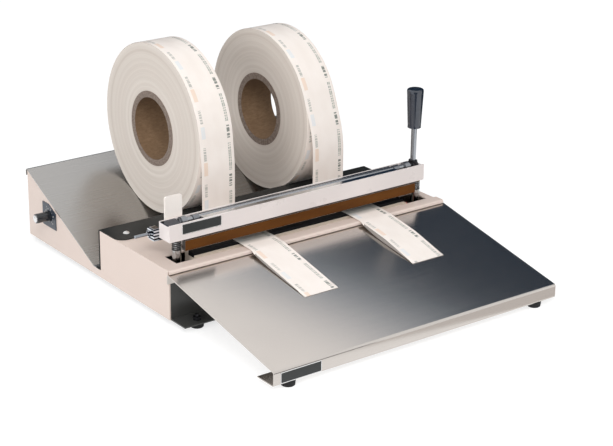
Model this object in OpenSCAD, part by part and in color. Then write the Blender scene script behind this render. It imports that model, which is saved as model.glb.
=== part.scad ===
// Lever press heat sealer for film on reels: a sheet-metal stand with a roll trough and a front tray,
// a heated head that a lever and two cams push down, and a cutter on a rail behind the head.
// Working frame: X across, Y from the front wall to the rear, Z from the underside of the base plate.

/* [Body] */
// Width over the two side panels
body_w = 400; // [380:1:460]
// Depth from the front wall to the rear panel
body_d = 328; // [315:1:370]
// Depth of the front box under the press
front_d = 152; // [146:1:156]
// Height of the deck over the underside of the base
deck_h = 60; // [56:1:66]
// Height of the trough's rear edge over the underside of the base
rear_h = 88; // [80:1:100]
// Thickness of the painted sheet
sheet = 1.5; // [1:0.1:2]
// How far the base plate stands out in front of the front wall
base_lip = 29; // [24:1:40]

/* [Roll trough] */
// Thickness of the stainless sheet
plate = 1.2; // [0.8:0.1:1.6]
// Height of the trough's lowest part
trough_low = 10.3; // [8:0.1:14]
// Distance of the foot of the slope behind the front wall
slope_foot = 168.6; // [164:0.2:176]
// Distance between the front box and the inner face of the trough's upright wall
trough_gap = 3; // [2.5:0.5:6]
// Depth of the flange that lies on the deck
trough_flange = 47; // [36:1:48]
// Radius of the flange's front corners
flange_corner = 14; // [6:1:20]
// Height of the flange along the rear edge
rear_flange = 10; // [6:1:16]
// How far the rear edge stands out behind the rear panel
rear_reach = 4; // [3:0.5:8]
// Radius of the bends in the sheet
bend_r = 2.5; // [2:0.5:4]
// Distance of the trough's screws from the side panels' outer faces
trough_screw_in = 21; // [14:1:40]

/* [Front tray] */
// How far the tray stands out past each side of the body
tray_over = 3; // [0:0.5:20]
// How far the tray's front edge lies in front of the front wall
tray_reach = 205; // [150:1:240]
// How far the tray's rear edge lies under the top of the deck
tray_drop = 2.7; // [2.6:0.1:4]
// Height of the tray's front edge over the underside of the base
tray_front_h = 16.8; // [14:0.2:26]
// Depth of the return under the front edge
tray_return = 30; // [20:1:40]
// Height of the hook behind the tray's rear edge
tray_hook = 12; // [8:1:20]
// Depth of the front rail on the deck
rail_depth = 10.4; // [7:0.2:12]
// How far the front rail's lip stands in front of the front wall
rail_reach = 4; // [3.5:0.5:6]
// Height of the triangular tabs at the front rail's ends
rail_tab_h = 14; // [8:1:20]

/* [Feet] */
// Height of the feet under the base plate
foot_h = 7; // [5:0.5:12]
// Diameter of the feet
foot_d = 17; // [12:0.5:18]
// Distance of the feet from the side panels' outer faces
foot_in = 25; // [20:1:60]
// Diameter of the foot bolts
foot_bolt_d = 5; // [4:0.5:6]

/* [Lower jaw] */
// How far the jaw bar's left end lies inside the heater's
jaw_in_left = 12.5; // [2:0.5:20]
// How far the jaw bar's right end lies inside the heater's
jaw_in_right = 17; // [12:0.5:30]
// Depth of the jaw bar
jaw_depth = 25; // [22:0.5:25]
// Height of the jaw bar
jaw_h = 20; // [14:1:30]
// Width of the silicone pad
pad_w = 12; // [8:0.5:14]
// How far the pad stands over the deck
pad_rise = 3.8; // [3:0.1:5]
// Width of each jaw stand
stand_w = 30; // [20:1:40]

/* [Head] */
// Sideways offset of the press from the middle of the body
press_x = 5; // [0:0.5:8]
// Distance of the head's front face behind the front wall
head_front = 20; // [19:0.5:23]
// How far the head reaches past the left column
head_past_left = 13.8; // [10:0.2:14]
// How far the head reaches past the right column
head_past_right = 6.2; // [6.2:0.2:8]
// Depth of the head
head_depth = 22; // [21.5:0.5:24]
// Height of the head channel
head_h = 20; // [18:0.5:24]
// Wall of the head channel
head_wall = 2; // [1.5:0.1:2.4]
// Gap between the heater's ends and the column sockets
heater_gap = 1.5; // [1:0.5:10]
// Depth of the heater bar
heater_depth = 13.5; // [10:0.5:16]
// Height of the heater bar
heater_h = 12; // [9:0.5:14]
// Thickness of the insulating strip over the heater bar
insulation_t = 2; // [1:0.5:3]
// Thickness of the cloth cover round the heater bar
cover_t = 0.5; // [0.3:0.1:0.8]
// How far the head travels down
press_travel = 5; // [4:0.1:5]

/* [Lever and columns] */
// How far the columns stand inside the side panels' outer faces, on average
column_in = 23; // [22:0.5:24]
// Diameter of the columns
column_d = 8; // [6:0.5:8]
// Diameter of the column sockets
socket_d = 11; // [10:0.5:12]
// How far the sockets stand over the deck
socket_rise = 11; // [8:0.5:12]
// Wire of the return springs
spring_wire = 1.2; // [0.8:0.1:1.3]
// Curls in each return spring
spring_curls = 4; // [3:1:4]
// Diameter of the camshaft
shaft_d = 7; // [6:0.5:8]
// Angle through which the lever is pulled
lever_swing = 70; // [60:1:72]
// Height of the lever's top over the camshaft
lever_len = 98.4; // [90:0.2:140]
// Length of the grip
grip_len = 49.4; // [40:0.2:65]
// Diameter of the grip at its top
grip_d = 20.6; // [16:0.2:24]
// Diameter of the grip at its lower end
grip_low_d = 16.4; // [12:0.2:18]
// Diameter of the lever rod
rod_d = 7; // [6:0.5:8]

/* [Cutter] */
// Diameter of the cutter rail
guide_d = 4; // [3:0.5:5]
// Distance of the rail behind the head
guide_back = 8; // [7:0.5:10]
// Height of the rail over the underside of the head
guide_rise = 4; // [3:0.5:8]
// How far the rail stands out to the left of the body
guide_out = 13; // [6:1:18]
// Width of the carriage
carriage_w = 26; // [18:1:32]
// Width of the handle tab
tab_w = 23.2; // [14:0.2:32]
// Height of the handle tab's top over the head
tab_rise = 26; // [18:1:36]

/* [Controls] */
// Distance of the knob behind the front wall
knob_y = 273.6; // [262:0.2:285]
// Height of the knob over the underside of the base
knob_z = 41.2; // [36:0.2:43]
// Diameter of the knob
knob_d = 12; // [9:0.5:16]
// Length of the knob
knob_len = 18; // [14:1:24]
// Width of the dial plate
dial_w = 32; // [26:1:36]
// Height of the dial plate
dial_h = 30; // [26:1:32]

/* [Film] */
// Width of the film
film_w = 47.4; // [40:0.2:50]
// Diameter of the left roll
left_roll_d = 213; // [160:1:220]
// Diameter of the right roll
right_roll_d = 207; // [160:1:220]
// Sideways place of the left roll's middle
left_roll_x = -63.5; // [-80:0.5:-50]
// Sideways place of the right roll's middle
right_roll_x = 96.8; // [60:0.2:110]
// Bore of the cardboard cores
core_bore = 78; // [70:1:80]
// Wall of the cardboard cores
core_wall = 8; // [4:0.5:10]
// Thickness of the film web
film_t = 0.3; // [0.2:0.1:0.4]
// How far the free ends of the film reach out over the tray
tail_reach = 99; // [60:1:140]
// How much further the left free end reaches than the right one
left_tail_more = 4; // [0:0.5:20]
// How far in front of the left roll its film falls
left_slack = 3.5; // [2:0.5:10]
// How far in front of the right roll its film falls
right_slack = 12.5; // [2:0.5:20]
// Lean of the film where it leaves the left roll
left_lean = 7; // [6:1:24]
// Lean of the film where it leaves the right roll
right_lean = 22; // [6:1:24]

/* [Hidden] */
$fn = 48;

// Clearances
running = 0.06;   // radial, between a shaft and its bore
seat = 0.1;       // between pieces of one body that lie on each other
clear = 0.3;      // between bodies that pass each other
through = 1;      // how far a cutting shape stands out of what it cuts

// Places in the stand
inner_half = body_w / 2 - sheet;
trough_wall = front_d + trough_gap;
rear_y = body_d + rear_reach;
flange_front = trough_wall - trough_flange;
slope = atan2(rear_h - trough_low, rear_y - slope_foot);
plate_drop = plate / cos(slope);
trough_screw_back = 18;
trough_screw_y = flange_front + trough_screw_back;
screw_head_h = 2.4;
screw_d = 4;
bend_steps = 4;
tray_w = body_w + 2 * tray_over;
tray_rear_h = deck_h - tray_drop;
tray_slope = atan2(tray_rear_h - tray_front_h, tray_reach);
foot_taper = 1.4;
foot_nut_h = 4;
foot_bolt_over = 3;
foot_back = 5.5;
foot_rear_in = 28;
foot_front_y = -(base_lip + foot_d) / 2 + foot_back;
foot_rear_y = body_d - foot_rear_in;
tray_foot_back = 0.5;
tray_foot_y = -tray_reach + foot_d / 2 + tray_foot_back;

// Places in the press
column_span = body_w - 2 * column_in;
column_xs = [press_x - column_span / 2, press_x + column_span / 2];
heater_len = column_span - socket_d - 2 * heater_gap;
jaw_left = press_x - heater_len / 2 + jaw_in_left;
jaw_right = press_x + heater_len / 2 - jaw_in_right;
jaw_len = jaw_right - jaw_left;
jaw_front = head_front - 4.4;
jaw_rear = jaw_front + jaw_depth;
jaw_top = deck_h + 0.8;
jaw_low = jaw_top - jaw_h;
jaw_groove = 0.8;
pad_seat = deck_h - 2;
pad_edge = 1;
stand_wall = 2;
slot_side = 0.6;
slot_end = 3;
pad_y = head_front + cover_t + heater_depth / 2;
pad_top = deck_h + pad_rise;
web_seat = 0.1;
web_start = 14;
lead_r = 1.3;
lead_bend_r = 3.2;
lead_top = deck_h - 4;
closed_gap = web_seat + film_t + clear;
cover_low = pad_top + closed_gap + press_travel;
heater_low = cover_low + cover_t;
head_low = heater_low + heater_h + insulation_t;
head_top = head_low + head_h;
head_left = column_xs[0] - head_past_left;
head_right = column_xs[1] + head_past_right;
head_rear = head_front + head_depth;
floor_top = head_low + head_wall;
column_back = 8;
column_y = head_front + column_back;
socket_top = deck_h + socket_rise;
socket_floor = deck_h / 3;
socket_flange_t = 3;
spigot_d = column_d - 3;
bush_d = column_d + 3;
bush_flange = 1.5;
shaft_back = 13.5;
shaft_drop = 3;
hub_wall = 2.4;
shaft_y = head_front + shaft_back;
shaft_z = head_top - shaft_drop;
shaft_hub_r = shaft_d / 2 + hub_wall;
block_foot_t = 3;
block_sink = 1.4;
block_foot_z = shaft_z - shaft_hub_r - clear - block_foot_t - block_sink;
block_inset = 16;
block_spigot_rise = 1.2;
block_w = 7;
block_step = 0.5;
block_half = shaft_hub_r - block_step;
block_wall = 1.2;
block_front = 5;
block_rear = 7;
lever_in = 0.5;
lever_x = column_xs[1] - lever_in;
hub_w = 8;
boss_r = rod_d / 2 + 2;
boss_top = 6.6;
rod_foot = shaft_d / 2 + 1;
grip_edge = 2;
grip_end = 10;
cam_w = 8;
cam_inset = 29;
cam_low = shaft_d / 2 + 1.3;
cam_gap = 0.2;
cam_rate = press_travel / (lever_swing * PI / 180);
cam_margin = 3;
cam_step = 4;
strip_t = 1.2;
strip_leg = 6;
strip_slot = shaft_d / 2 + 1;
element_r = 2.4;
element_rise = 3.6;
bolt_grip = 5;
wear_front = 9;
wear_rear = 3;
wear_side = 1;

// Places on the cutter
guide_y = head_rear + guide_back;
guide_z = head_low + guide_rise;
guide_left = -body_w / 2 - guide_out;
bracket_w = 8;
bracket_h = 2 * guide_back - 1;
bracket_t = 2;
wing_out = 6;
left_bracket_x = head_left - bracket_w + 1;
nut_t = 3;
carriage_x = left_bracket_x + bracket_w + nut_t + 4;
carriage_low = guide_z - 7;
carriage_top = guide_z + 8;
carriage_front = guide_y - 4;
carriage_d = 10;
tab_t = 2;
tab_corner = 3;
tab_low = carriage_low + 3;
blade_t = 0.6;
blade_held = 3;
blade_in = 5;
blade_low = deck_h + 3.4 + press_travel;

// Places of the controls
dial_t = 1.2;
spindle_r = 3;
spindle_deep = 10;
thermostat_r = 11;
thermostat_d = 18;
bushing_r = spindle_r + 2;
knob_gap = 0.4;
knob_face = -body_w / 2 - dial_t - knob_gap;
cap_t = 1.2;
knob_flutes = 12;
knob_skirt_t = 2;
knob_end_t = 4;
knob_skirt_r = knob_d / 2 + 1.2;
flute_r = 0.8;
inlet_in = 58.5;
inlet_x = inner_half - inlet_in;
inlet_z = 32;
inlet_w = 30;
inlet_h = 24;
inlet_deep = 20;
inlet_wall = 3;
inlet_rim = 2;
pin_pitch = 7;
pin_free = 8;
switch_apart = 45;
switch_x = inlet_x - switch_apart;
switch_z = 32;
switch_w = 22;
switch_h = 22;
rocker_w = switch_w - 4;
rocker_pin_r = 1.2;
rocker_pin_half = switch_w / 2 - 0.9;
rocker_in = 1;
rocker_tilt = 8;
rocker_deep = 12;
switch_deep = 16;
switch_rim = 1.6;
switch_wall = 1.4;
transformer_apart = 75;
transformer_back = 50;
transformer_x = switch_x - transformer_apart;
transformer_y = body_d - transformer_back;
core_w = 54;
core_d = 22;
core_h = 35;
core_foot = 4;
core_foot_t = 3;
winding_w = 32;
winding_d = 38;
winding_in = 5;
board_in = 103.5;
board_back = 60;
board_x = board_in - inner_half;
board_y = body_d - board_back;
board_w = 90;
board_d = 58;
board_rise = 8;
board_t = 1.6;
post_d = 6;
post_in = 5;

// The whole part is moved so that the middle of its box lies over the origin
box_left = -body_w / 2 - dial_t - knob_gap - knob_len - cap_t;
box_right = max(tray_w, body_w) / 2;
box_front = -tray_reach;
mid_x = (box_left + box_right) / 2;
mid_y = (box_front + rear_y) / 2;

function unit(v) = v / norm(v);
function left_of(d) = [-d[1], d[0]];
function turned(v, angle) = [v[0] * cos(angle) - v[1] * sin(angle), v[0] * sin(angle) + v[1] * cos(angle)];
function slope_z(y) = trough_low + (y - slope_foot) * tan(slope);
function tray_z(y) = tray_rear_h + y * tan(tray_slope);

// Points of a round bend of radius r at corner q, between p and s
function bend(p, q, s, r) =
  let (along = unit(q - p), away = unit(s - q))
  let (side = along[0] * away[1] - along[1] * away[0] > 0 ? 1 : -1)
  let (angle = acos(along * away))
  let (start = q - along * r * tan(angle / 2))
  let (middle = start + left_of(along) * r * side)
  [for (k = [0 : bend_steps]) middle + turned(start - middle, side * angle * k / bend_steps)];

// A folded line with round bends at its inner corners; radii gives one radius for each corner
function folded(points, radii) =
  let (last = len(points) - 1)
  concat([points[0]],
    [for (i = [1 : last - 1]) each bend(points[i - 1], points[i], points[i + 1], radii[i - 1])],
    [points[last]]);

// The outline of a sheet of thickness t on the left of a folded line
function sheet_outline(line, t) =
  let (last = len(line) - 1)
  let (steps = [for (i = [0 : last - 1]) unit(line[i + 1] - line[i])])
  let (other = [for (i = [0 : last])
    let (a = left_of(steps[max(i - 1, 0)]), b = left_of(steps[min(i, last - 1)]))
    line[i] + (a + b) * t / (1 + a * b)])
  concat(line, [for (i = [last : -1 : 0]) other[i]]);

// The place of a roll of radius r that lies on the slope and against the trough's upper bend
function roll_place(r) =
  let (reach = r + clear)
  let (up = [-sin(slope), cos(slope)], along = [cos(slope), sin(slope)])
  let (edge = [trough_wall - bend_r, deck_h + plate - bend_r])
  let (from_edge = [slope_foot, trough_low] + up * reach - edge)
  let (b = from_edge * along)
  let (s = -b + sqrt(b * b - from_edge * from_edge + pow(reach + bend_r, 2)))
  edge + from_edge + along * s;

left_roll_place = roll_place(left_roll_d / 2);
right_roll_place = roll_place(right_roll_d / 2);

// The middle line of a return spring, with a straight stretch of one wire diameter at each end
spring_h = head_low - bush_flange - clear - socket_top;
spring_r = column_d / 2 + clear + spring_wire / 2;
curl_rings = 8;
spring_line = concat(
  [[spring_r, 0, 0]],
  [for (i = [0 : spring_curls * curl_rings])
    let (angle = 360 * i / curl_rings)
    let (rise = spring_wire + (spring_h - 2 * spring_wire) * i / (spring_curls * curl_rings))
    [spring_r * cos(angle), spring_r * sin(angle), rise]],
  [[spring_r, 0, spring_h]]);
spring_gap = min([for (i = [0 : len(spring_line) - 1], j = [i + curl_rings / 2 : 1 : len(spring_line) - 1])
  norm(spring_line[i] - spring_line[j])]) - spring_wire;
echo(spring_self_gap = spring_gap);

// Places that the record of the part repeats
function placed(p) = p + [-mid_x, -mid_y, foot_h];
echo(shaft = placed([lever_x, shaft_y, shaft_z]));
echo(knob = placed([-body_w / 2, knob_y, knob_z]));
echo(rocker = placed([switch_x, body_d - rocker_in, switch_z]));
echo(left_roll = placed([left_roll_x, left_roll_place[0], left_roll_place[1]]));
echo(right_roll = placed([right_roll_x, right_roll_place[0], right_roll_place[1]]));
echo(spring_foot = placed([0, 0, socket_top]));
echo(origin_shift = placed([0, 0, 0]));
echo(pad_top = pad_top, cover_low = cover_low, head_low = head_low, trough_wall = trough_wall);

module place() { translate([-mid_x, -mid_y, foot_h]) children(); }

// A flat outline in Y and Z, drawn out along X from x0 to x1
module along_x(x0, x1) {
  translate([x0, 0, 0]) rotate([90, 0, 90]) linear_extrude(x1 - x0) children();
}

module box(low, high) { translate(low) cube(high - low); }

module rod_x(x0, x1, y, z, r) { translate([x0, y, z]) rotate([0, 90, 0]) cylinder(h = x1 - x0, r = r); }

// A flat outline in X and Z, drawn out along Y from y0 to y1
module along_y(y0, y1) {
  translate([0, y1, 0]) rotate([90, 0, 0]) linear_extrude(y1 - y0) children();
}

// A tube along a line that winds round the Z axis
module wound_tube(line, r) {
  sides = 6;
  last = len(line) - 1;
  steps = [for (i = [0 : last - 1]) unit(line[i + 1] - line[i])];
  rings = [for (i = [0 : last])
    let (ahead = unit(steps[max(i - 1, 0)] + steps[min(i, last - 1)]))
    let (outward = [line[i][0], line[i][1], 0])
    let (across = unit(outward - ahead * (outward * ahead)))
    let (over = cross(ahead, across))
    for (k = [0 : sides - 1]) line[i] + r * (across * cos(360 * k / sides) + over * sin(360 * k / sides))];
  walls = [for (i = [0 : last - 1], k = [0 : sides - 1])
    let (a = i * sides + k, b = i * sides + (k + 1) % sides)
    each [[a, a + sides, b], [b, a + sides, b + sides]]];
  ends = [for (k = [1 : sides - 2])
    each [[0, k, k + 1], [last * sides, last * sides + k + 1, last * sides + k]]];
  polyhedron(points = rings, faces = concat(walls, ends));
}

// Stand

module base_plate() color([0.08, 0.08, 0.09]) place() difference() {
  box([-inner_half, -base_lip, 0], [inner_half, body_d - sheet, sheet]);
  foot_places() cylinder(h = 6 * sheet, d = foot_bolt_d, center = true);
}

module foot_places() {
  for (x = [-1, 1], y = [foot_front_y, foot_rear_y])
    translate([x * (body_w / 2 - foot_in), y, 0]) children();
}

module front_wall() color([0.07, 0.07, 0.08]) place()
  box([-inner_half, 0, sheet], [inner_half, sheet, deck_h - sheet]);

module cross_wall() color([0.07, 0.07, 0.08]) place()
  box([-inner_half, front_d - sheet, sheet], [inner_half, front_d, deck_h - sheet]);

module rear_panel() color([0.91, 0.85, 0.81]) place() difference() {
  box([-inner_half, body_d - sheet, 0], [inner_half, body_d, slope_z(body_d - sheet) - plate_drop]);
  translate([inlet_x, body_d, inlet_z]) cube([inlet_w, 6 * sheet, inlet_h], center = true);
  translate([switch_x, body_d, switch_z]) cube([switch_w, 6 * sheet, switch_h], center = true);
}

module side_outline() polygon([
  [0, 0], [body_d, 0], [body_d, slope_z(body_d) - plate_drop],
  [slope_foot + (plate_drop - plate) / tan(slope), trough_low - plate], [front_d, trough_low - plate],
  [front_d, deck_h], [0, deck_h]]);

module left_side() color([0.91, 0.85, 0.81]) place() difference() {
  along_x(-body_w / 2, -inner_half) side_outline();
  rod_x(-body_w / 2 - through, -inner_half + through, knob_y, knob_z, bushing_r);
}

module right_side() color([0.91, 0.85, 0.81]) place() along_x(inner_half, body_w / 2) side_outline();

module deck() color([0.96, 0.91, 0.87]) place() difference() {
  box([-inner_half, 0, deck_h - sheet], [inner_half, front_d, deck_h]);
  box([column_xs[0] - socket_d / 2 - slot_end, jaw_front - slot_side, deck_h - 2 * sheet],
    [column_xs[1] + socket_d / 2 + slot_end, jaw_rear + slot_side, deck_h + sheet]);
  trough_screw_places() cylinder(h = 6 * sheet, d = screw_d, center = true);
}

module trough_screw_places() {
  for (x = [-1, 1]) translate([x * (body_w / 2 - trough_screw_in), trough_screw_y, deck_h]) children();
}

module roll_trough() color([0.66, 0.65, 0.62]) place() difference() {
  along_x(-body_w / 2, body_w / 2) polygon(sheet_outline(folded(
    [[rear_y, rear_h - rear_flange], [rear_y, rear_h], [slope_foot, trough_low],
     [trough_wall, trough_low], [trough_wall, deck_h + plate], [flange_front, deck_h + plate]],
    [bend_r, bend_r, bend_r, bend_r]), plate));
  for (side = [-1, 1]) translate([side * body_w / 2, flange_front, deck_h + plate / 2])
    mirror([side > 0 ? 1 : 0, 0, 0]) corner_cut(flange_corner, 4 * plate);
  trough_screw_places() cylinder(h = 6 * sheet, d = screw_d, center = true);
}

// What is cut off a square corner at the origin to round it with radius r
module corner_cut(r, h) difference() {
  translate([-through, -through, -h / 2]) cube([r + through, r + through, h]);
  translate([r, r, 0]) cylinder(h = 2 * h, r = r, center = true);
}

module trough_screws() color([0.85, 0.85, 0.84]) place() trough_screw_places() {
  translate([0, 0, plate]) pan_head(screw_d, screw_head_h);
  translate([0, 0, -3 * sheet]) cylinder(h = 3 * sheet + plate, d = screw_d - 2 * seat);
}

// A pan head with a domed top over its flat seat at the origin
module pan_head(d, h) {
  dome_r = (d * d + h * h) / (2 * h);
  intersection() {
    translate([0, 0, h - dome_r]) sphere(r = dome_r);
    cylinder(h = h, r = d);
  }
}

module front_rail() color([0.94, 0.87, 0.82]) place() {
  along_x(-body_w / 2 - sheet, body_w / 2 + sheet) polygon(sheet_outline(folded(
    [[rail_depth, deck_h + sheet], [-rail_reach, deck_h + sheet], [-rail_reach, tray_rear_h + seat]],
    [bend_r]), sheet));
  for (x = [-body_w / 2 - sheet, body_w / 2]) along_x(x, x + sheet)
    polygon([[0, deck_h], [rail_depth, deck_h], [rail_depth - 2, deck_h - rail_tab_h / 3],
      [1, deck_h - rail_tab_h]]);
}

module front_tray() color([0.62, 0.63, 0.65]) place() along_x(-tray_w / 2, tray_w / 2)
  polygon(sheet_outline(folded(
    [[0, tray_rear_h - tray_hook], [0, tray_rear_h], [-tray_reach, tray_front_h],
     [-tray_reach, 0], [-tray_reach + tray_return, 0]],
    [bend_r, bend_r, bend_r]), plate));

module foot() rotate_extrude()
  polygon([[0, 0], [foot_d / 2 - foot_taper, 0], [foot_d / 2 - foot_taper / 2, foot_taper / 2],
    [foot_d / 2, foot_h], [0, foot_h]]);

module tray_feet() color([0.05, 0.05, 0.05]) place()
  for (x = [-1, 1]) translate([x * (tray_w / 2 - foot_in), tray_foot_y, -foot_h]) foot();

module base_feet() color([0.05, 0.05, 0.05]) place() foot_places() translate([0, 0, -foot_h]) difference() {
  foot();
  translate([0, 0, foot_h / 2]) cylinder(h = foot_h, d = foot_bolt_d);
}

module foot_bolts() color([0.12, 0.12, 0.13]) place() foot_places() {
  translate([0, 0, -foot_h / 2 + seat])
    cylinder(h = foot_h / 2 + sheet + foot_nut_h + foot_bolt_over, d = foot_bolt_d - 2 * seat);
  translate([0, 0, sheet]) cylinder(h = foot_nut_h, d = 2 * foot_bolt_d, $fn = 6);
}

// Lower jaw

module jaw_span() { along_x(jaw_left, jaw_right) children(); }

module lower_jaw() color([0.86, 0.79, 0.68]) place() jaw_span() difference() {
  translate([jaw_front, jaw_low]) square([jaw_depth, jaw_h]);
  for (k = [0 : 2])
    translate([jaw_front + jaw_groove * (1 + 2 * k), jaw_top - jaw_groove]) square([jaw_groove, jaw_h]);
  translate([pad_y - pad_w / 2, pad_seat]) square([pad_w, jaw_h]);
}

module jaw_pad() color([0.09, 0.09, 0.1]) place() jaw_span() translate([pad_y, 0])
  polygon([[-pad_w / 2, pad_seat], [pad_w / 2, pad_seat], [pad_w / 2, pad_top - pad_edge],
    [pad_w / 2 - pad_edge, pad_top], [pad_edge - pad_w / 2, pad_top], [-pad_w / 2, pad_top - pad_edge]]);

module jaw_stands() color([0.55, 0.56, 0.57]) place() for (k = [-1 : 1])
  translate([jaw_left + (k + 1.5) * jaw_len / 3, 0, 0]) difference() {
    box([-stand_w / 2, jaw_front, sheet], [stand_w / 2, jaw_rear, jaw_low]);
    box([-stand_w / 2 + stand_wall, jaw_front - through, sheet + stand_wall],
      [stand_w / 2 - stand_wall, jaw_rear + through, jaw_low - stand_wall]);
  }

module jaw_lead() color([0.75, 0.13, 0.08]) place()
  translate([jaw_right, jaw_front + lead_bend_r, lead_top]) {
    rotate([90, 0, 0]) rotate_extrude(angle = 90) translate([lead_bend_r, 0]) circle(r = lead_r);
    translate([lead_bend_r, 0, sheet - lead_top]) cylinder(h = lead_top - sheet, r = lead_r);
  }

// Columns and bearings

module column_places() for (x = column_xs) translate([x, column_y, 0]) children();

module guide_columns() color([0.82, 0.83, 0.84]) place() column_places() {
  translate([0, 0, socket_floor]) cylinder(h = block_foot_z - socket_floor, d = column_d);
  translate([0, 0, block_foot_z]) cylinder(h = block_foot_t + block_spigot_rise, d = spigot_d);
}

module column_sockets() color([0.74, 0.75, 0.77]) place() column_places() difference() {
  union() {
    translate([0, 0, sheet]) cylinder(h = socket_flange_t, d = socket_d + 8);
    translate([0, 0, sheet]) cylinder(h = socket_top - sheet, d = socket_d);
  }
  translate([0, 0, socket_floor]) cylinder(h = deck_h, d = column_d);
}

module return_springs() color([0.3, 0.3, 0.32]) place()
  column_places() translate([0, 0, socket_top]) wound_tube(spring_line, spring_wire / 2);

// One L-shaped block for the right column; the left one is its mirror image
module bearing_block() difference() {
  union() {
    box([column_span / 2 - block_inset, column_y - block_front, block_foot_z],
      [column_span / 2 + spigot_d / 2 + block_wall, column_y + block_rear, block_foot_z + block_foot_t]);
    along_x(column_span / 2 - block_inset, column_span / 2 - block_inset + block_w) union() {
      translate([shaft_y - block_half, block_foot_z]) square([2 * block_half, shaft_z - block_foot_z]);
      translate([shaft_y, shaft_z]) circle(r = shaft_hub_r);
    }
  }
  rod_x(column_span / 2 - block_inset - through, column_span / 2 - block_inset + block_w + through,
    shaft_y, shaft_z, shaft_d / 2 + running);
  translate([column_span / 2, column_y, block_foot_z - through])
    cylinder(h = block_foot_t + 2 * through, d = spigot_d);
}

module bearing_blocks() color([0.7, 0.71, 0.73]) place() translate([press_x, 0, 0])
  for (side = [0, 1]) mirror([side, 0, 0]) bearing_block();

// Head

module head_outline() difference() {
  translate([head_front, head_low]) square([head_depth, head_h]);
  translate([head_front + head_wall, floor_top]) square([head_depth - 2 * head_wall, head_h]);
}

module head_channel() color([0.9, 0.87, 0.85]) place() difference() {
  along_x(head_left, head_right) head_outline();
  column_places() translate([0, 0, head_low - through]) cylinder(h = head_wall + 2 * through, d = bush_d);
  bolt_places() translate([0, 0, head_low - through]) cylinder(h = head_wall + 2 * through, d = screw_d);
}

module bolt_places() {
  for (k = [-1.5 : 1.5]) translate([press_x + k * heater_len / 5, pad_y, 0]) children();
}

module head_end_caps() color([0.9, 0.87, 0.85]) place() for (x = [head_left, head_right - head_wall])
  box([x, head_front + head_wall, floor_top], [x + head_wall, head_rear - head_wall, head_top - strip_t]);

// Polished angle strips that narrow the top of the channel to a slot over the camshaft
module head_top_strips() color([0.62, 0.64, 0.68]) place() {
  ends = column_span / 2 - cam_inset - cam_w / 2 - 1;
  front = head_front + head_wall;
  rear = head_rear - head_wall;
  along_x(press_x - ends, press_x + ends) polygon([
    [front, head_top - strip_leg], [front + strip_t, head_top - strip_leg],
    [front + strip_t, head_top - strip_t], [shaft_y - strip_slot, head_top - strip_t],
    [shaft_y - strip_slot, head_top], [front, head_top]]);
  along_x(press_x - ends, press_x + ends) polygon([
    [rear, head_top - strip_leg], [rear, head_top], [shaft_y + strip_slot, head_top],
    [shaft_y + strip_slot, head_top - strip_t], [rear - strip_t, head_top - strip_t],
    [rear - strip_t, head_top - strip_leg]]);
}

module heater_span() { along_x(press_x - heater_len / 2, press_x + heater_len / 2) children(); }

module heater_bar() color([0.75, 0.75, 0.76]) place() difference() {
  heater_span() difference() {
    translate([head_front + cover_t, heater_low]) square([heater_depth, heater_h]);
    translate([pad_y, heater_low + element_rise]) circle(r = element_r);
  }
  bolt_places() translate([0, 0, heater_low + heater_h - bolt_grip])
    cylinder(h = bolt_grip + through, d = screw_d);
}

module heater_element() color([0.45, 0.4, 0.36]) place() heater_span()
  translate([pad_y, heater_low + element_rise]) circle(r = element_r - seat);

module insulation_strip() color([0.72, 0.68, 0.6]) place() difference() {
  heater_span() translate([head_front + cover_t, heater_low + heater_h]) square([heater_depth, insulation_t]);
  bolt_places() translate([0, 0, heater_low + heater_h - through])
    cylinder(h = insulation_t + 2 * through, d = screw_d);
}

module cloth_cover() color([0.42, 0.26, 0.12]) place() heater_span() difference() {
  translate([head_front, cover_low]) square([heater_depth + 2 * cover_t, heater_h + cover_t]);
  translate([head_front + cover_t, heater_low]) square([heater_depth, 2 * heater_h]);
}

module heater_bolts() color([0.6, 0.61, 0.63]) place() bolt_places() {
  bottom = heater_low + heater_h - bolt_grip + seat;
  translate([0, 0, bottom]) cylinder(h = floor_top - bottom, d = screw_d - 2 * seat);
  translate([0, 0, floor_top]) pan_head(screw_d, screw_head_h);
}

module column_bushes() color([0.72, 0.55, 0.28]) place() column_places() difference() {
  union() {
    translate([0, 0, head_low - bush_flange]) cylinder(h = bush_flange, d = bush_d);
    translate([0, 0, head_low]) cylinder(h = head_wall, d = bush_d);
  }
  translate([0, 0, head_low - 2 * bush_flange]) cylinder(h = head_h, d = column_d + 2 * running);
}

module cam_places() for (side = [-1, 1])
  translate([press_x + side * (column_span / 2 - cam_inset) - cam_w / 2, 0, 0]) children();

module wear_blocks() color([0.5, 0.51, 0.54]) place() cam_places()
  box([-wear_side, shaft_y - wear_front, floor_top],
    [cam_w + wear_side, shaft_y + wear_rear, shaft_z - cam_low - cam_gap]);

// Cutter

module bracket_wing(x0, x1)
  box([x0, head_rear, guide_z - bracket_h / 2], [x1, head_rear + bracket_t, guide_z + bracket_h / 2]);

module bracket_lug(x0) difference() {
  along_x(x0, x0 + bracket_w) union() {
    translate([head_rear, guide_z - bracket_h / 2]) square([guide_back, bracket_h]);
    translate([guide_y, guide_z]) circle(d = bracket_h);
  }
  rod_x(x0 - through, x0 + bracket_w + through, guide_y, guide_z, guide_d / 2);
}

module rail_brackets() color([0.08, 0.08, 0.09]) place() {
  bracket_lug(left_bracket_x);
  bracket_wing(left_bracket_x, head_left + wing_out);
  bracket_lug(head_right - bracket_w);
  bracket_wing(head_right - bracket_w - wing_out, head_right);
}

module cutter_rail() color([0.82, 0.83, 0.85]) place()
  rod_x(guide_left, head_right, guide_y, guide_z, guide_d / 2 - seat / 2);

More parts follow.
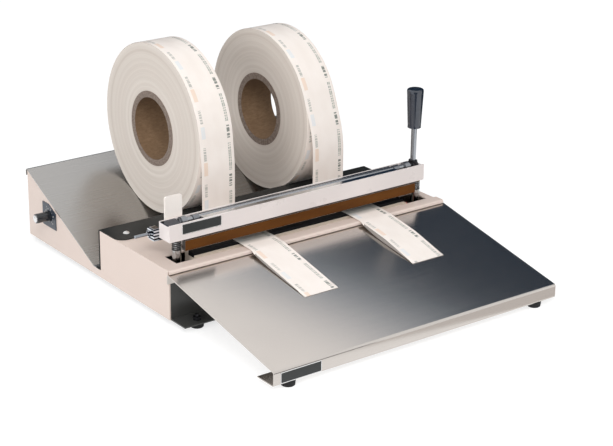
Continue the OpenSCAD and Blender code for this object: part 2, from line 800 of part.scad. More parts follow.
module rail_nuts() color([0.78, 0.79, 0.81]) place()
  for (x = [left_bracket_x - nut_t, left_bracket_x + bracket_w])
    translate([x, guide_y, guide_z]) rotate([0, 90, 0]) difference() {
      cylinder(h = nut_t, d = 2 * guide_d, $fn = 6);
      translate([0, 0, -through]) cylinder(h = nut_t + 2 * through, d = guide_d);
    }

module cutter_carriage() color([0.1, 0.1, 0.11]) place() difference() {
  along_x(carriage_x, carriage_x + carriage_w) difference() {
    translate([carriage_front, carriage_low]) square([carriage_d, carriage_top - carriage_low]);
    translate([guide_y - blade_t / 2, carriage_low - through]) square([blade_t, blade_held + through]);
  }
  rod_x(carriage_x - through, carriage_x + carriage_w + through, guide_y, guide_z,
    guide_d / 2 - seat / 2 + running);
}

module cutter_handle() color([0.95, 0.93, 0.91]) place() along_y(carriage_front - tab_t, carriage_front)
  translate([carriage_x + (carriage_w - tab_w) / 2, 0]) union() {
    top = head_top + tab_rise;
    translate([0, tab_low]) square([tab_w, top - tab_corner - tab_low]);
    translate([tab_corner, top - 2 * tab_corner]) square([tab_w - 2 * tab_corner, 2 * tab_corner]);
    for (x = [tab_corner, tab_w - tab_corner]) translate([x, top - tab_corner]) circle(r = tab_corner);
  }

module cutter_blade() color([0.8, 0.81, 0.83]) place()
  along_y(guide_y - blade_t / 2, guide_y + blade_t / 2) translate([carriage_x, 0])
    polygon([[blade_in, carriage_low + blade_held], [carriage_w - blade_in, carriage_low + blade_held],
      [carriage_w - blade_in, carriage_low], [carriage_w - 2 * blade_in, blade_low],
      [blade_in, carriage_low]]);

// Lever and camshaft

module camshaft() color([0.8, 0.81, 0.83]) place()
  rod_x(column_xs[0] + block_inset - block_w - 2, lever_x + hub_w / 2, shaft_y, shaft_z, shaft_d / 2);

// A cam whose lift grows evenly with the angle, so that the flat wear block follows the lever evenly
module cam_outline() {
  flank = [for (b = [-cam_margin : cam_step : lever_swing + cam_margin])
    let (h = cam_low + cam_rate * b * PI / 180)
    [-h * sin(b) - cam_rate * cos(b), -h * cos(b) + cam_rate * sin(b)]];
  translate([shaft_y, shaft_z]) difference() {
    union() {
      polygon(concat([[0, 0]], flank));
      circle(r = cam_low);
    }
    circle(r = shaft_d / 2);
  }
}

module cams() color([0.6, 0.61, 0.64]) place() cam_places() along_x(0, cam_w) cam_outline();

module lever_hub() color([0.75, 0.76, 0.78]) place() difference() {
  union() {
    rod_x(lever_x - hub_w / 2, lever_x + hub_w / 2, shaft_y, shaft_z, shaft_hub_r);
    intersection() {
      translate([lever_x, shaft_y, shaft_z]) cylinder(h = boss_top, r = boss_r);
      box([lever_x - hub_w / 2, 0, 0], [lever_x + hub_w / 2, body_d, head_top + boss_top]);
    }
  }
  rod_x(lever_x - hub_w, lever_x + hub_w, shaft_y, shaft_z, shaft_d / 2);
  translate([lever_x, shaft_y, shaft_z + rod_foot]) cylinder(h = boss_top, d = rod_d);
}

module lever_rod() color([0.85, 0.86, 0.88]) place()
  translate([lever_x, shaft_y, shaft_z + rod_foot]) cylinder(h = lever_len - grip_end - rod_foot, d = rod_d);

module lever_grip() color([0.06, 0.06, 0.07]) place()
  translate([lever_x, shaft_y, shaft_z + lever_len - grip_len]) difference() {
    rotate_extrude() union() {
      polygon([[0, 0], [grip_low_d / 2 - 1, 0], [grip_low_d / 2, 1], [grip_d / 2, grip_len - 2 * grip_edge],
        [grip_d / 2, grip_len - grip_edge], [0, grip_len - grip_edge]]);
      square([grip_d / 2 - grip_edge, grip_len]);
      translate([grip_d / 2 - grip_edge, grip_len - grip_edge]) circle(r = grip_edge);
    }
    translate([0, 0, -through]) cylinder(h = grip_len - grip_end + through, d = rod_d);
  }

// Controls

module dial_plate() color([0.08, 0.1, 0.14]) place() difference() {
  along_x(-body_w / 2 - dial_t, -body_w / 2) intersection() {
    translate([knob_y - dial_w / 2, knob_z - dial_h / 2]) square([dial_w, dial_h]);
    polygon([[slope_foot, 0], [body_d, 0], [body_d, slope_z(body_d) - 4 * plate],
      [slope_foot, slope_z(slope_foot) - 4 * plate]]);
  }
  rod_x(-body_w / 2 - 2 * dial_t, -inner_half, knob_y, knob_z, bushing_r);
}

module thermostat() color([0.2, 0.2, 0.22]) place() difference() {
  union() {
    rod_x(-body_w / 2 - dial_t, -inner_half, knob_y, knob_z, bushing_r - seat);
    rod_x(-inner_half, -inner_half + thermostat_d, knob_y, knob_z, thermostat_r);
  }
  rod_x(-body_w / 2 - 2 * dial_t, -inner_half + spindle_deep, knob_y, knob_z, spindle_r + running);
}

module knob_spindle() color([0.7, 0.7, 0.72]) place()
  rod_x(knob_face - knob_len + knob_end_t, -inner_half + spindle_deep - clear, knob_y, knob_z, spindle_r);

module control_knob() color([0.07, 0.07, 0.08]) place()
  translate([knob_face, knob_y, knob_z]) rotate([0, -90, 0]) difference() {
    union() {
      cylinder(h = knob_skirt_t, r = knob_skirt_r);
      linear_extrude(knob_len) difference() {
        circle(d = knob_d);
        for (k = [0 : knob_flutes - 1])
          rotate(360 * k / knob_flutes) translate([knob_d / 2 + flute_r / 3, 0]) circle(r = flute_r);
      }
    }
    translate([0, 0, -through]) cylinder(h = knob_len - knob_end_t + through, r = spindle_r);
  }

module knob_cap() color([0.85, 0.85, 0.86]) place()
  translate([knob_face - knob_len, knob_y, knob_z]) rotate([0, -90, 0]) cylinder(h = cap_t, d = knob_d - 3);

module mains_inlet() color([0.06, 0.06, 0.07]) place() translate([inlet_x, body_d, inlet_z]) {
  floor = inlet_wall - inlet_deep;
  difference() {
    union() {
      box([-inlet_w / 2 - inlet_wall, 0, -inlet_h / 2 - inlet_rim],
        [inlet_w / 2 + inlet_wall, inlet_rim, inlet_h / 2 + inlet_rim]);
      box([-inlet_w / 2 + seat, -inlet_deep, -inlet_h / 2 + seat],
        [inlet_w / 2 - seat, 0, inlet_h / 2 - seat]);
    }
    box([-inlet_w / 2 + inlet_wall, floor, -inlet_h / 2 + inlet_wall],
      [inlet_w / 2 - inlet_wall, inlet_rim + through, inlet_h / 2 - inlet_wall]);
  }
  for (side = [-1 : 1])
    translate([side * pin_pitch, 0, side == 0 ? 2 : -2]) box([-1, floor, -2], [1, -pin_free, 2]);
}

module switch_frame() color([0.06, 0.06, 0.07]) place() translate([switch_x, body_d, switch_z]) difference() {
  union() {
    box([-switch_w / 2 - 2, 0, -switch_h / 2 - 2], [switch_w / 2 + 2, switch_rim, switch_h / 2 + 2]);
    box([-switch_w / 2 + seat, -switch_deep, -switch_h / 2 + seat],
      [switch_w / 2 - seat, 0, switch_h / 2 - seat]);
  }
  box([-rocker_w / 2 - clear, -rocker_deep, -switch_h / 2 + switch_wall],
    [rocker_w / 2 + clear, switch_rim + through, switch_h / 2 - switch_wall]);
  rod_x(-rocker_pin_half - clear, rocker_pin_half + clear, -rocker_in, 0, rocker_pin_r + running);
}

// The rocker at rest, pressed at its lower end
module power_rocker() color([0.1, 0.1, 0.11]) place()
  translate([switch_x, body_d - rocker_in, switch_z]) rotate([-rocker_tilt, 0, 0]) {
    half = switch_h / 2 - switch_wall - 1;
    along_x(-rocker_w / 2, rocker_w / 2)
      polygon([[-6, -3], [-6, 3], [-1, half], [2.6, half], [1.4, 0], [2.6, -half], [-1, -half]]);
    rod_x(-rocker_pin_half, rocker_pin_half, 0, 0, rocker_pin_r);
  }

module transformer() color([0.35, 0.33, 0.3]) place() translate([transformer_x, transformer_y, sheet]) {
  core_half = core_w / 2;
  core_top = core_foot_t + core_h;
  box([-core_half - core_foot, -winding_d / 2, 0], [core_half + core_foot, winding_d / 2, core_foot_t]);
  box([-core_half, -core_d / 2, core_foot_t], [core_half, core_d / 2, core_top]);
  box([-winding_w / 2, -winding_d / 2, core_foot_t + winding_in],
    [winding_w / 2, winding_d / 2, core_top - winding_in]);
}

module control_board() color([0.1, 0.32, 0.2]) place() translate([board_x, board_y, sheet]) {
  top = board_rise + board_t;
  for (x = [-1, 1], y = [-1, 1])
    translate([x * (board_w / 2 - post_in), y * (board_d / 2 - post_in), 0])
      cylinder(h = board_rise, d = post_d);
  box([-board_w / 2, -board_d / 2, board_rise], [board_w / 2, board_d / 2, top]);
  box([-0.42 * board_w, -0.17 * board_d, top], [-0.22 * board_w, 0.14 * board_d, top + 2 * board_rise]);
  box([-0.11 * board_w, -0.34 * board_d, top], [0.22 * board_w, -0.2 * board_d, top + board_rise]);
  box([0.31 * board_w, -0.24 * board_d, top], [0.44 * board_w, 0.24 * board_d, top + 1.5 * board_rise]);
}

// Film

module film_roll(x, spot, d) translate([x - film_w / 2, spot[0], spot[1]]) rotate([0, 90, 0]) difference() {
  cylinder(h = film_w, d = d);
  translate([0, 0, -through]) cylinder(h = film_w + 2 * through, d = core_bore + 2 * core_wall);
}

module reel_core(x, spot) translate([x - film_w / 2, spot[0], spot[1]]) rotate([0, 90, 0]) difference() {
  cylinder(h = film_w, d = core_bore + 2 * core_wall - seat);
  translate([0, 0, -through]) cylinder(h = film_w + 2 * through, d = core_bore);
}

// The web leaves the front of a roll at a lean, falls slack onto the deck, and runs under the head and out
// over the tray
module film_web(x, spot, d, reach, slack, lean) {
  off_roll = d / 2 + clear;
  leave = spot + off_roll * [-cos(lean), sin(lean)];
  start = leave - web_start * [sin(lean), cos(lean)];
  fall_y = spot[0] - off_roll - slack;
  fall_z = leave[1] - (leave[0] - fall_y) / tan(lean);
  on_deck = deck_h + web_seat;
  on_pad = pad_top + web_seat;
  on_rail = deck_h + sheet + 4 * web_seat;
  arch = 3;
  bends = [120, 16, 30, 30, 30, 30, 60];
  line = folded(
    [start, [fall_y, fall_z], [fall_y, on_deck], [head_rear + 12, on_deck],
     [pad_y + pad_w / 2 + 2, on_pad], [pad_y - pad_w / 2 - 4, on_pad], [-rail_reach, on_rail],
     [-reach / 2, tray_z(-reach / 2) + arch], [-reach, tray_z(-reach) + web_seat]],
    bends);
  along_x(x - film_w / 2, x + film_w / 2) polygon(sheet_outline(line, -film_t));
}

module left_roll() color([0.94, 0.92, 0.89]) place() film_roll(left_roll_x, left_roll_place, left_roll_d);
module right_roll() color([0.94, 0.92, 0.89]) place() film_roll(right_roll_x, right_roll_place, right_roll_d);
module left_core() color([0.55, 0.4, 0.27]) place() reel_core(left_roll_x, left_roll_place);
module right_core() color([0.55, 0.4, 0.27]) place() reel_core(right_roll_x, right_roll_place);
module left_web() color([0.95, 0.94, 0.92]) place()
  film_web(left_roll_x, left_roll_place, left_roll_d, tail_reach + left_tail_more, left_slack, left_lean);
module right_web() color([0.95, 0.94, 0.92]) place()
  film_web(right_roll_x, right_roll_place, right_roll_d, tail_reach, right_slack, right_lean);

base_plate();
front_wall();
cross_wall();
rear_panel();
left_side();
right_side();
deck();
roll_trough();
trough_screws();
front_rail();
front_tray();
tray_feet();
base_feet();
foot_bolts();
lower_jaw();
jaw_pad();
jaw_stands();
jaw_lead();
guide_columns();
column_sockets();
return_springs();
bearing_blocks();
mains_inlet();
switch_frame();
dial_plate();
thermostat();
transformer();
control_board();
left_web();
right_web();
head_channel();
head_end_caps();
head_top_strips();
heater_bar();
heater_element();
insulation_strip();
cloth_cover();
heater_bolts();
column_bushes();
wear_blocks();
rail_brackets();
cutter_rail();
rail_nuts();
camshaft();
cams();
lever_hub();
lever_rod();
lever_grip();
cutter_carriage();
cutter_handle();
cutter_blade();
control_knob();
knob_cap();
knob_spindle();
power_rocker();
left_roll();
left_core();
right_roll();
right_core();
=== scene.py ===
import math
import random

import bpy
from mathutils import Matrix, Vector


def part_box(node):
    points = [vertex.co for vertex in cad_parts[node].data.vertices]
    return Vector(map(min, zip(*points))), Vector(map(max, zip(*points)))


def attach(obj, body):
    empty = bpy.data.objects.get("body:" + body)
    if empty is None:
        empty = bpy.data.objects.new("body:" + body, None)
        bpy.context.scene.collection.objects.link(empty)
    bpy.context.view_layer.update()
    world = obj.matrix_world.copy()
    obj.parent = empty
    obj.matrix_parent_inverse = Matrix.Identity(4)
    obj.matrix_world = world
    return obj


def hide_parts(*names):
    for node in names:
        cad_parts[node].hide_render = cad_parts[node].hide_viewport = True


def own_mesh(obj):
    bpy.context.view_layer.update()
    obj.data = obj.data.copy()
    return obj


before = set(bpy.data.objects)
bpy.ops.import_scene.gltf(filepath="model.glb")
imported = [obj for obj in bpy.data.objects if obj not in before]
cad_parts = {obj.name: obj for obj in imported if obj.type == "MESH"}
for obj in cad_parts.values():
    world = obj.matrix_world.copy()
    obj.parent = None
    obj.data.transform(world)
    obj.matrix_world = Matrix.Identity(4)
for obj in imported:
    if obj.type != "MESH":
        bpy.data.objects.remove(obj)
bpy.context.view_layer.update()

MM = 0.001

# Camera, found from the photograph: place in metres, angles in degrees, focal length in pixels of its width
PHOTO_WIDTH = 613
CAMERA_PLACE = (-1.1566, -1.5973, 0.8264)
CAMERA_YAW = 37.03
CAMERA_PITCH = -21.16
CAMERA_ROLL = 0.75
FOCAL_PIXELS = 1752.04
SENSOR = 36
CLIP_END = 50


def make_camera():
    yaw, pitch, roll = (math.radians(angle) for angle in (CAMERA_YAW, CAMERA_PITCH, CAMERA_ROLL))
    ahead = Vector((math.sin(yaw) * math.cos(pitch), math.cos(yaw) * math.cos(pitch), math.sin(pitch)))
    level = Vector((math.cos(yaw), -math.sin(yaw), 0))
    upright = level.cross(ahead)
    right = math.cos(roll) * level + math.sin(roll) * upright
    up = math.cos(roll) * upright - math.sin(roll) * level
    data = bpy.data.cameras.new("photo_camera")
    data.sensor_fit = "HORIZONTAL"
    data.sensor_width = SENSOR
    data.lens = FOCAL_PIXELS / PHOTO_WIDTH * SENSOR
    data.clip_end = CLIP_END
    camera = bpy.data.objects.new("photo_camera", data)
    turn = Matrix((right, up, -ahead)).transposed().to_4x4()
    camera.matrix_world = Matrix.Translation(CAMERA_PLACE) @ turn
    bpy.context.scene.collection.objects.link(camera)
    bpy.context.scene.camera = camera


# The range in which nearly all values of a noise lie
NOISE_RANGE = (0.3, 0.7)


class Shader:
    """A principled node material, put together by short calls that each return an output socket."""

    def __init__(self, name, **sockets):
        self.material = bpy.data.materials.new(name)
        self.material.use_nodes = True
        self.nodes = self.material.node_tree.nodes
        self.links = self.material.node_tree.links
        self.surface = self.nodes["Principled BSDF"]
        for socket, value in sockets.items():
            self.set(socket.replace("_", " ").title().replace("Ior", "IOR"), value)

    def set(self, socket, value):
        self.feed(self.surface.inputs[socket], value)

    def feed(self, socket, value):
        if isinstance(value, bpy.types.NodeSocket):
            self.links.new(value, socket)
        else:
            socket.default_value = value

    def node(self, kind, inputs, **settings):
        made = self.nodes.new(kind)
        for key, value in settings.items():
            setattr(made, key, value)
        for key, value in inputs.items():
            self.feed(made.inputs[key], value)
        return made

    def coords(self, kind="Object"):
        return self.node("ShaderNodeTexCoord", {}).outputs[kind]

    def scaled(self, scale, vector=None):
        inputs = {"Vector": vector or self.coords(), "Scale": scale}
        return self.node("ShaderNodeMapping", inputs).outputs[0]

    def split(self, vector):
        return self.node("ShaderNodeSeparateXYZ", {"Vector": vector}).outputs

    def noise(self, vector, scale, detail=2.0, rough=0.5):
        inputs = {"Vector": vector, "Scale": scale, "Detail": detail, "Roughness": rough}
        return self.node("ShaderNodeTexNoise", inputs).outputs[0]

    def line_noise(self, place, scale, detail=2.0):
        inputs = {"W": place, "Scale": scale, "Detail": detail}
        return self.node("ShaderNodeTexNoise", inputs, noise_dimensions="1D").outputs[0]

    def math(self, operation, first, second=0.0):
        return self.node("ShaderNodeMath", {0: first, 1: second}, operation=operation).outputs[0]

    def both(self, first, second):
        return self.math("MULTIPLY", first, second)

    def wave(self, value, period):
        return self.math("SINE", self.math("MULTIPLY", value, 2 * math.pi / period))

    def within(self, value, low, high):
        """1 where value lies between low and high, 0 elsewhere."""
        above = self.math("GREATER_THAN", value, low)
        below = self.math("LESS_THAN", value, high)
        return self.both(above, below)

    def spread(self, value, low, high, to_low=0.0, to_high=1.0):
        inputs = {"Value": value, "From Min": low, "From Max": high, "To Min": to_low, "To Max": to_high}
        return self.node("ShaderNodeMapRange", inputs).outputs[0]

    def swing(self, noise, to_low=0.0, to_high=1.0):
        """A noise, stretched from its usual range."""
        return self.spread(noise, *NOISE_RANGE, to_low, to_high)

    def mix(self, share, first, second):
        """Colours as (r, g, b), or sockets."""
        inputs = {0: share, 6: full(first), 7: full(second)}
        return self.node("ShaderNodeMix", inputs, data_type="RGBA").outputs[2]

    def wander(self, noise, first, second):
        """A colour that goes from the first to the second with a noise."""
        return self.mix(self.swing(noise), first, second)

    def bump(self, height, strength, depth):
        inputs = {"Height": height, "Strength": strength, "Distance": depth}
        self.set("Normal", self.node("ShaderNodeBump", inputs).outputs[0])


def full(colour):
    return colour if isinstance(colour, bpy.types.NodeSocket) else (*colour, 1.0)


def shade(colour, factor):
    return tuple(min(1.0, channel * factor) for channel in colour)


# Finishes. Colours are linear, and texture scales are cells for each metre, some along each axis.
PEEL = 700
CLOUD = 9
SPECK = 2600
HANDLING = 14
LONG_GRAIN = (9, 2200, 2200)
RAIL_GRAIN = (60, 900, 900)
COLUMN_GRAIN = (900, 900, 60)
CAST_GRAIN = (300, 300, 300)
FINE_DEPTH = 0.05 * MM
GROOVE_START = 94.55 * MM
GROOVE_PITCH = 3.8 * MM
WEAVE_PITCH = 0.8 * MM
BOARD_TRACKS = (240, 0.3)
BOARD_CROSS_TRACKS = (170, 0.25)


def enamel(name, colour, rough=0.34, peel=0.05, clear=0.25):
    """Sprayed enamel on sheet metal: soft clouds, a fine orange peel and a little dust."""
    s = Shader(name, coat_weight=clear, coat_roughness=0.12)
    place = s.coords()
    cloud = s.noise(place, CLOUD, 3)
    dust = s.noise(place, SPECK, 1)
    tone = s.wander(cloud, shade(colour, 0.965), shade(colour, 1.02))
    s.set("Base Color", s.mix(s.spread(dust, 0.68, 0.8, 0, 0.12), tone, shade(colour, 0.8)))
    s.set("Roughness", s.swing(s.noise(place, 40, 3), rough - 0.05, rough + 0.07))
    s.bump(s.noise(place, PEEL, 2), peel, 0.2 * MM)
    return s.material


def steel_look(s, colour, rough, grain, cloud_rough=0.03):
    """Colour, roughness, grain lines and handling clouds of brushed steel."""
    lines = s.noise(s.scaled(grain), 1.0, 4, 0.6)
    cloud = s.noise(s.coords(), HANDLING, 3)
    tone = s.wander(lines, shade(colour, 0.96), shade(colour, 1.03))
    tone = s.mix(s.spread(cloud, 0.45, 0.8, 0, 0.35), tone, shade(colour, 0.95))
    grain_rough = s.spread(lines, 0.25, 0.75, rough - 0.02, rough + 0.03)
    return tone, s.math("ADD", grain_rough, s.swing(cloud, 0, cloud_rough)), lines, cloud


def rolled_steel(name, colour, rough, grain, cloud_rough=0.03, depth=0.02):
    """Sheet or ground steel: fine grain drawn out along one axis, with faint handling clouds."""
    s = Shader(name, metallic=1.0)
    tone, roughness, lines, _ = steel_look(s, colour, rough, grain, cloud_rough)
    s.set("Base Color", tone)
    s.set("Roughness", roughness)
    s.bump(lines, depth, FINE_DEPTH)
    return s.material


def two_tone_trough(name, colour, rough, border):
    """Brushed steel behind the border, black stove enamel on the wall and flange in front of it."""
    s = Shader(name, specular_ior_level=0.06)
    tone, roughness, lines, cloud = steel_look(s, colour, rough, LONG_GRAIN)
    black = s.math("LESS_THAN", s.split(s.coords())["Y"], border)
    enamel_tone = s.wander(cloud, (0.02, 0.021, 0.0205), (0.03, 0.031, 0.03))
    s.set("Base Color", s.mix(black, tone, enamel_tone))
    s.set("Metallic", s.math("SUBTRACT", 1.0, black))
    s.set("Roughness", s.spread(black, 0, 1, roughness, s.swing(cloud, 0.2, 0.27)))
    s.bump(lines, 0.02, FINE_DEPTH)
    return s.material


def moulded(name, colour, rough=0.42, grain=1500, depth=0.12, clear=0.0, flow_depth=0.15):
    """Moulded plastic with a fine spark-eroded texture and slight flow clouds."""
    s = Shader(name, coat_weight=clear, coat_roughness=0.08)
    place = s.coords()
    flow = s.noise(place, 60, 3)
    s.set("Base Color", s.wander(flow, shade(colour, 1 - flow_depth), shade(colour, 1 + flow_depth)))
    s.set("Roughness", s.swing(s.noise(place, 220, 2), rough - 0.06, rough + 0.08))
    s.bump(s.noise(place, grain, 2), depth, FINE_DEPTH)
    return s.material


def grip_lacquer(name):
    """Dark blue-grey lacquer with fine metal flakes, deep gloss and faint hand marks."""
    s = Shader(name, metallic=0.3, coat_weight=1.0, coat_roughness=0.05)
    place = s.coords()
    flakes = s.noise(place, 4200, 1)
    marks = s.noise(place, 130, 4)
    tone = s.mix(s.spread(flakes, 0.4, 0.65), (0.022, 0.028, 0.042), (0.046, 0.056, 0.08))
    s.set("Base Color", s.mix(s.spread(marks, 0.45, 0.8, 0, 0.4), tone, (0.012, 0.015, 0.022)))
    s.set("Roughness", s.swing(marks, 0.14, 0.22))
    s.bump(flakes, 0.03, 0.02 * MM)
    return s.material


def grooved_chrome(name):
    """Bright plated fittings with turned grooves, one above the other, painted nearly black in the grooves
    as shade.
    """
    s = Shader(name, metallic=1.0)
    height = s.math("SUBTRACT", s.split(s.coords())["Z"], GROOVE_START)
    grooves = s.wave(height, GROOVE_PITCH)
    wear = s.noise(s.coords(), 300, 3)
    bright = s.wander(wear, (0.6, 0.63, 0.68), (0.82, 0.84, 0.87))
    # Nearly black in the grooves: painted shade in the recesses
    s.set("Base Color", s.mix(s.spread(grooves, -0.25, 0.35), (0.012, 0.016, 0.026), bright))
    s.set("Roughness", s.swing(wear, 0.12, 0.2))
    s.bump(grooves, 0.3, 0.2 * MM)
    return s.material


def glass_cloth(name):
    """Brown coated glass cloth: a fine square weave under a waxy coat, with lighter and darker stains."""
    s = Shader(name, specular_ior_level=0.08)
    axes = s.split(s.coords())
    warp = s.wave(axes["X"], WEAVE_PITCH)
    weft = s.wave(s.math("ADD", axes["Y"], axes["Z"]), WEAVE_PITCH)
    weave = s.both(warp, weft)
    stain = s.noise(s.scaled((14, 60, 60)), 1.0, 4, 0.6)
    tone = s.mix(s.spread(stain, 0.3, 0.72), (0.105, 0.037, 0.0075), (0.165, 0.061, 0.013))
    s.set("Base Color", s.mix(s.spread(weave, -1, 1, 0.25, 0), tone, (0.07, 0.025, 0.008)))
    s.set("Roughness", s.swing(stain, 0.42, 0.56))
    s.bump(weave, 0.25, 0.06 * MM)
    return s.material


# Film print. A mark: bounds in shares of the width, period in metres, part of it, screens, strength, ink
LEFT_BAND = (0.075, 0.19)
LEFT_TEXT = (0.09, 0.17)
RIGHT_BAND = (0.83, 0.915)
FILM_MARKS = (
    (LEFT_BAND, 0.09, (0.22, 0.4), (), 0.55, (0.86, 0.62, 0.45)),
    (LEFT_BAND, 0.09, (0.74, 0.9), (), 0.45, (0.68, 0.78, 0.85)),
    (LEFT_TEXT, 0.045, (0.04, 0.4), ("bars",), 0.6, (0.3, 0.33, 0.3)),
    (RIGHT_BAND, 0.06, (0.02, 0.58), ("bars", "rows"), 0.7, (0.22, 0.27, 0.23)),
    (RIGHT_BAND, 0.06, (0.66, 0.92), ("heavy_bars",), 0.8, (0.08, 0.12, 0.1)),
)
FILM_TONES = ((0.93, 0.85, 0.79), (0.98, 0.91, 0.855))

# Painted shade on the film under the head: the places in Y from which it darkens, and where it is darkest
PAINTED_SHADE_FRONT = (-54 * MM, -44 * MM)
PAINTED_SHADE_REAR = (-20 * MM, -26 * MM)
PAINTED_SHADE_STRENGTH = 0.8
PAINTED_SHADE_TONE = (0.12, 0.13, 0.12)


def film_face(name, painted_shade_share=1.0):
    """Satin film with plain printed marks at both edges, with painted shade near the head and, by its share
    argument, a darker painted-shade copy. U runs across the film, V along it in metres.
    """
    s = Shader(name, coat_weight=0.1, coat_roughness=0.25, specular_ior_level=0.45)
    uv = s.split(s.coords("UV"))
    across, along = uv["X"], uv["Y"]
    cloud = s.noise(s.scaled((3, 30, 1), s.coords("UV")), 1.0, 3)
    tone = s.wander(cloud, *(shade(colour, painted_shade_share) for colour in FILM_TONES))
    screens = {
        "bars": s.math("GREATER_THAN", s.line_noise(along, 800, 1), 0.45),
        "rows": s.math("GREATER_THAN", s.line_noise(across, 60, 1), 0.42),
        "heavy_bars": s.math("GREATER_THAN", s.line_noise(along, 420, 0), 0.43),
    }
    for band, period, part, broken_by, strength, ink in FILM_MARKS:
        turn = s.math("FRACT", s.math("DIVIDE", along, period))
        mark = s.both(s.within(across, *band), s.within(turn, *part))
        for screen in broken_by:
            mark = s.both(mark, screens[screen])
        tone = s.mix(s.both(mark, strength), tone, ink)
    # Painted shade: the film darkens towards the head's jaws from the front and from behind, for the head's
    # shadow
    way = s.split(s.coords())["Y"]
    painted_shade = s.math("MINIMUM", s.spread(way, *PAINTED_SHADE_FRONT), s.spread(way, *PAINTED_SHADE_REAR))
    s.set("Base Color", s.mix(s.both(painted_shade, PAINTED_SHADE_STRENGTH), tone, PAINTED_SHADE_TONE))
    s.set("Roughness", s.swing(cloud, 0.34, 0.48))
    s.bump(s.noise(s.scaled((6, 120, 1), s.coords("UV")), 1.0, 3), 0.15, 0.3 * MM)
    return s.material


def film_edges(name):
    """The layers' edges at a wound roll's side. U is the radius in metres, V the turn from 0 to 1."""
    s = Shader(name, specular_ior_level=0.3)
    uv = s.split(s.coords("UV"))
    radius, turn = uv["X"], uv["Y"]
    bands = s.line_noise(radius, 130, 3)
    layers = s.line_noise(radius, 1500, 2)
    sway = s.math("MULTIPLY", s.wave(turn, 0.5), 1.6 * MM)
    drift = s.line_noise(s.math("ADD", radius, sway), 75, 2)
    tone = s.mix(s.spread(bands, 0.3, 0.72), (0.655, 0.58, 0.52), (0.78, 0.71, 0.65))
    tone = s.mix(s.spread(drift, 0.35, 0.65, 0, 0.45), tone, (0.78, 0.72, 0.66))
    s.set("Base Color", s.mix(s.spread(layers, 0.4, 0.7, 0, 0.3), tone, (0.56, 0.52, 0.46)))
    s.set("Roughness", s.swing(layers, 0.5, 0.66))
    s.bump(layers, 0.25, 0.12 * MM)
    return s.material


def card(name):
    """Wound cardboard: brown fibre, greyer on the cut ends, which show the plies."""
    s = Shader(name, specular_ior_level=0.2)
    place = s.coords()
    fibre = s.noise(s.scaled((160, 420, 420)), 1.0, 5, 0.7)
    blotch = s.noise(place, 55, 3)
    wall = s.wander(fibre, (0.17, 0.105, 0.06), (0.27, 0.175, 0.105))
    wall = s.mix(s.spread(blotch, 0.4, 0.75, 0, 0.4), wall, (0.15, 0.09, 0.05))
    ply = s.noise(place, 420, 3)
    end = s.mix(s.spread(ply, 0.35, 0.65), (0.19, 0.145, 0.12), (0.3, 0.245, 0.21))
    facing = s.math("ABSOLUTE", s.split(s.coords("Normal"))["X"])
    s.set("Base Color", s.mix(s.math("GREATER_THAN", facing, 0.7), wall, end))
    s.set("Roughness", s.swing(fibre, 0.7, 0.9))
    s.bump(fibre, 0.3, 0.15 * MM)
    return s.material


def rubber(name, colour, shine=0.35):
    """Rubber with a faint bloom and a fine grain."""
    s = Shader(name, specular_ior_level=shine)
    place = s.coords()
    bloom = s.noise(place, 90, 4)
    s.set("Base Color", s.mix(s.spread(bloom, 0.35, 0.75), colour, shade(colour, 2.2)))
    s.set("Roughness", s.swing(bloom, 0.6, 0.78))
    s.bump(s.noise(place, 1800, 2), 0.2, 0.08 * MM)
    return s.material


def circuit_board(name):
    """Green lacquered board with a grid of copper tracks under the lacquer."""
    s = Shader(name, roughness=0.35, coat_weight=0.4, coat_roughness=0.1)
    axes = s.split(s.coords())

    def tracks(place, per_metre, share):
        return s.math("LESS_THAN", s.math("FRACT", s.math("MULTIPLY", place, per_metre)), share)

    area = s.math("GREATER_THAN", s.noise(s.coords(), 70, 2), 0.5)
    lines = s.mix(area, tracks(axes["X"], *BOARD_TRACKS), tracks(axes["Y"], *BOARD_CROSS_TRACKS))
    s.set("Base Color", s.mix(s.both(lines, 0.6), (0.015, 0.09, 0.03), (0.07, 0.24, 0.08)))
    s.bump(lines, 0.2, FINE_DEPTH)
    return s.material


CREAM = (0.785, 0.655, 0.587)
HEAD_CREAM = (0.86, 0.79, 0.77)
STEEL = (0.62, 0.58, 0.545)
TROUGH_STEEL = (0.43, 0.42, 0.407)
TROUGH_BORDER = 99 * MM
# Share of the film's colour on the tubes' folds: painted shade
FOLD_SHADE = 0.32

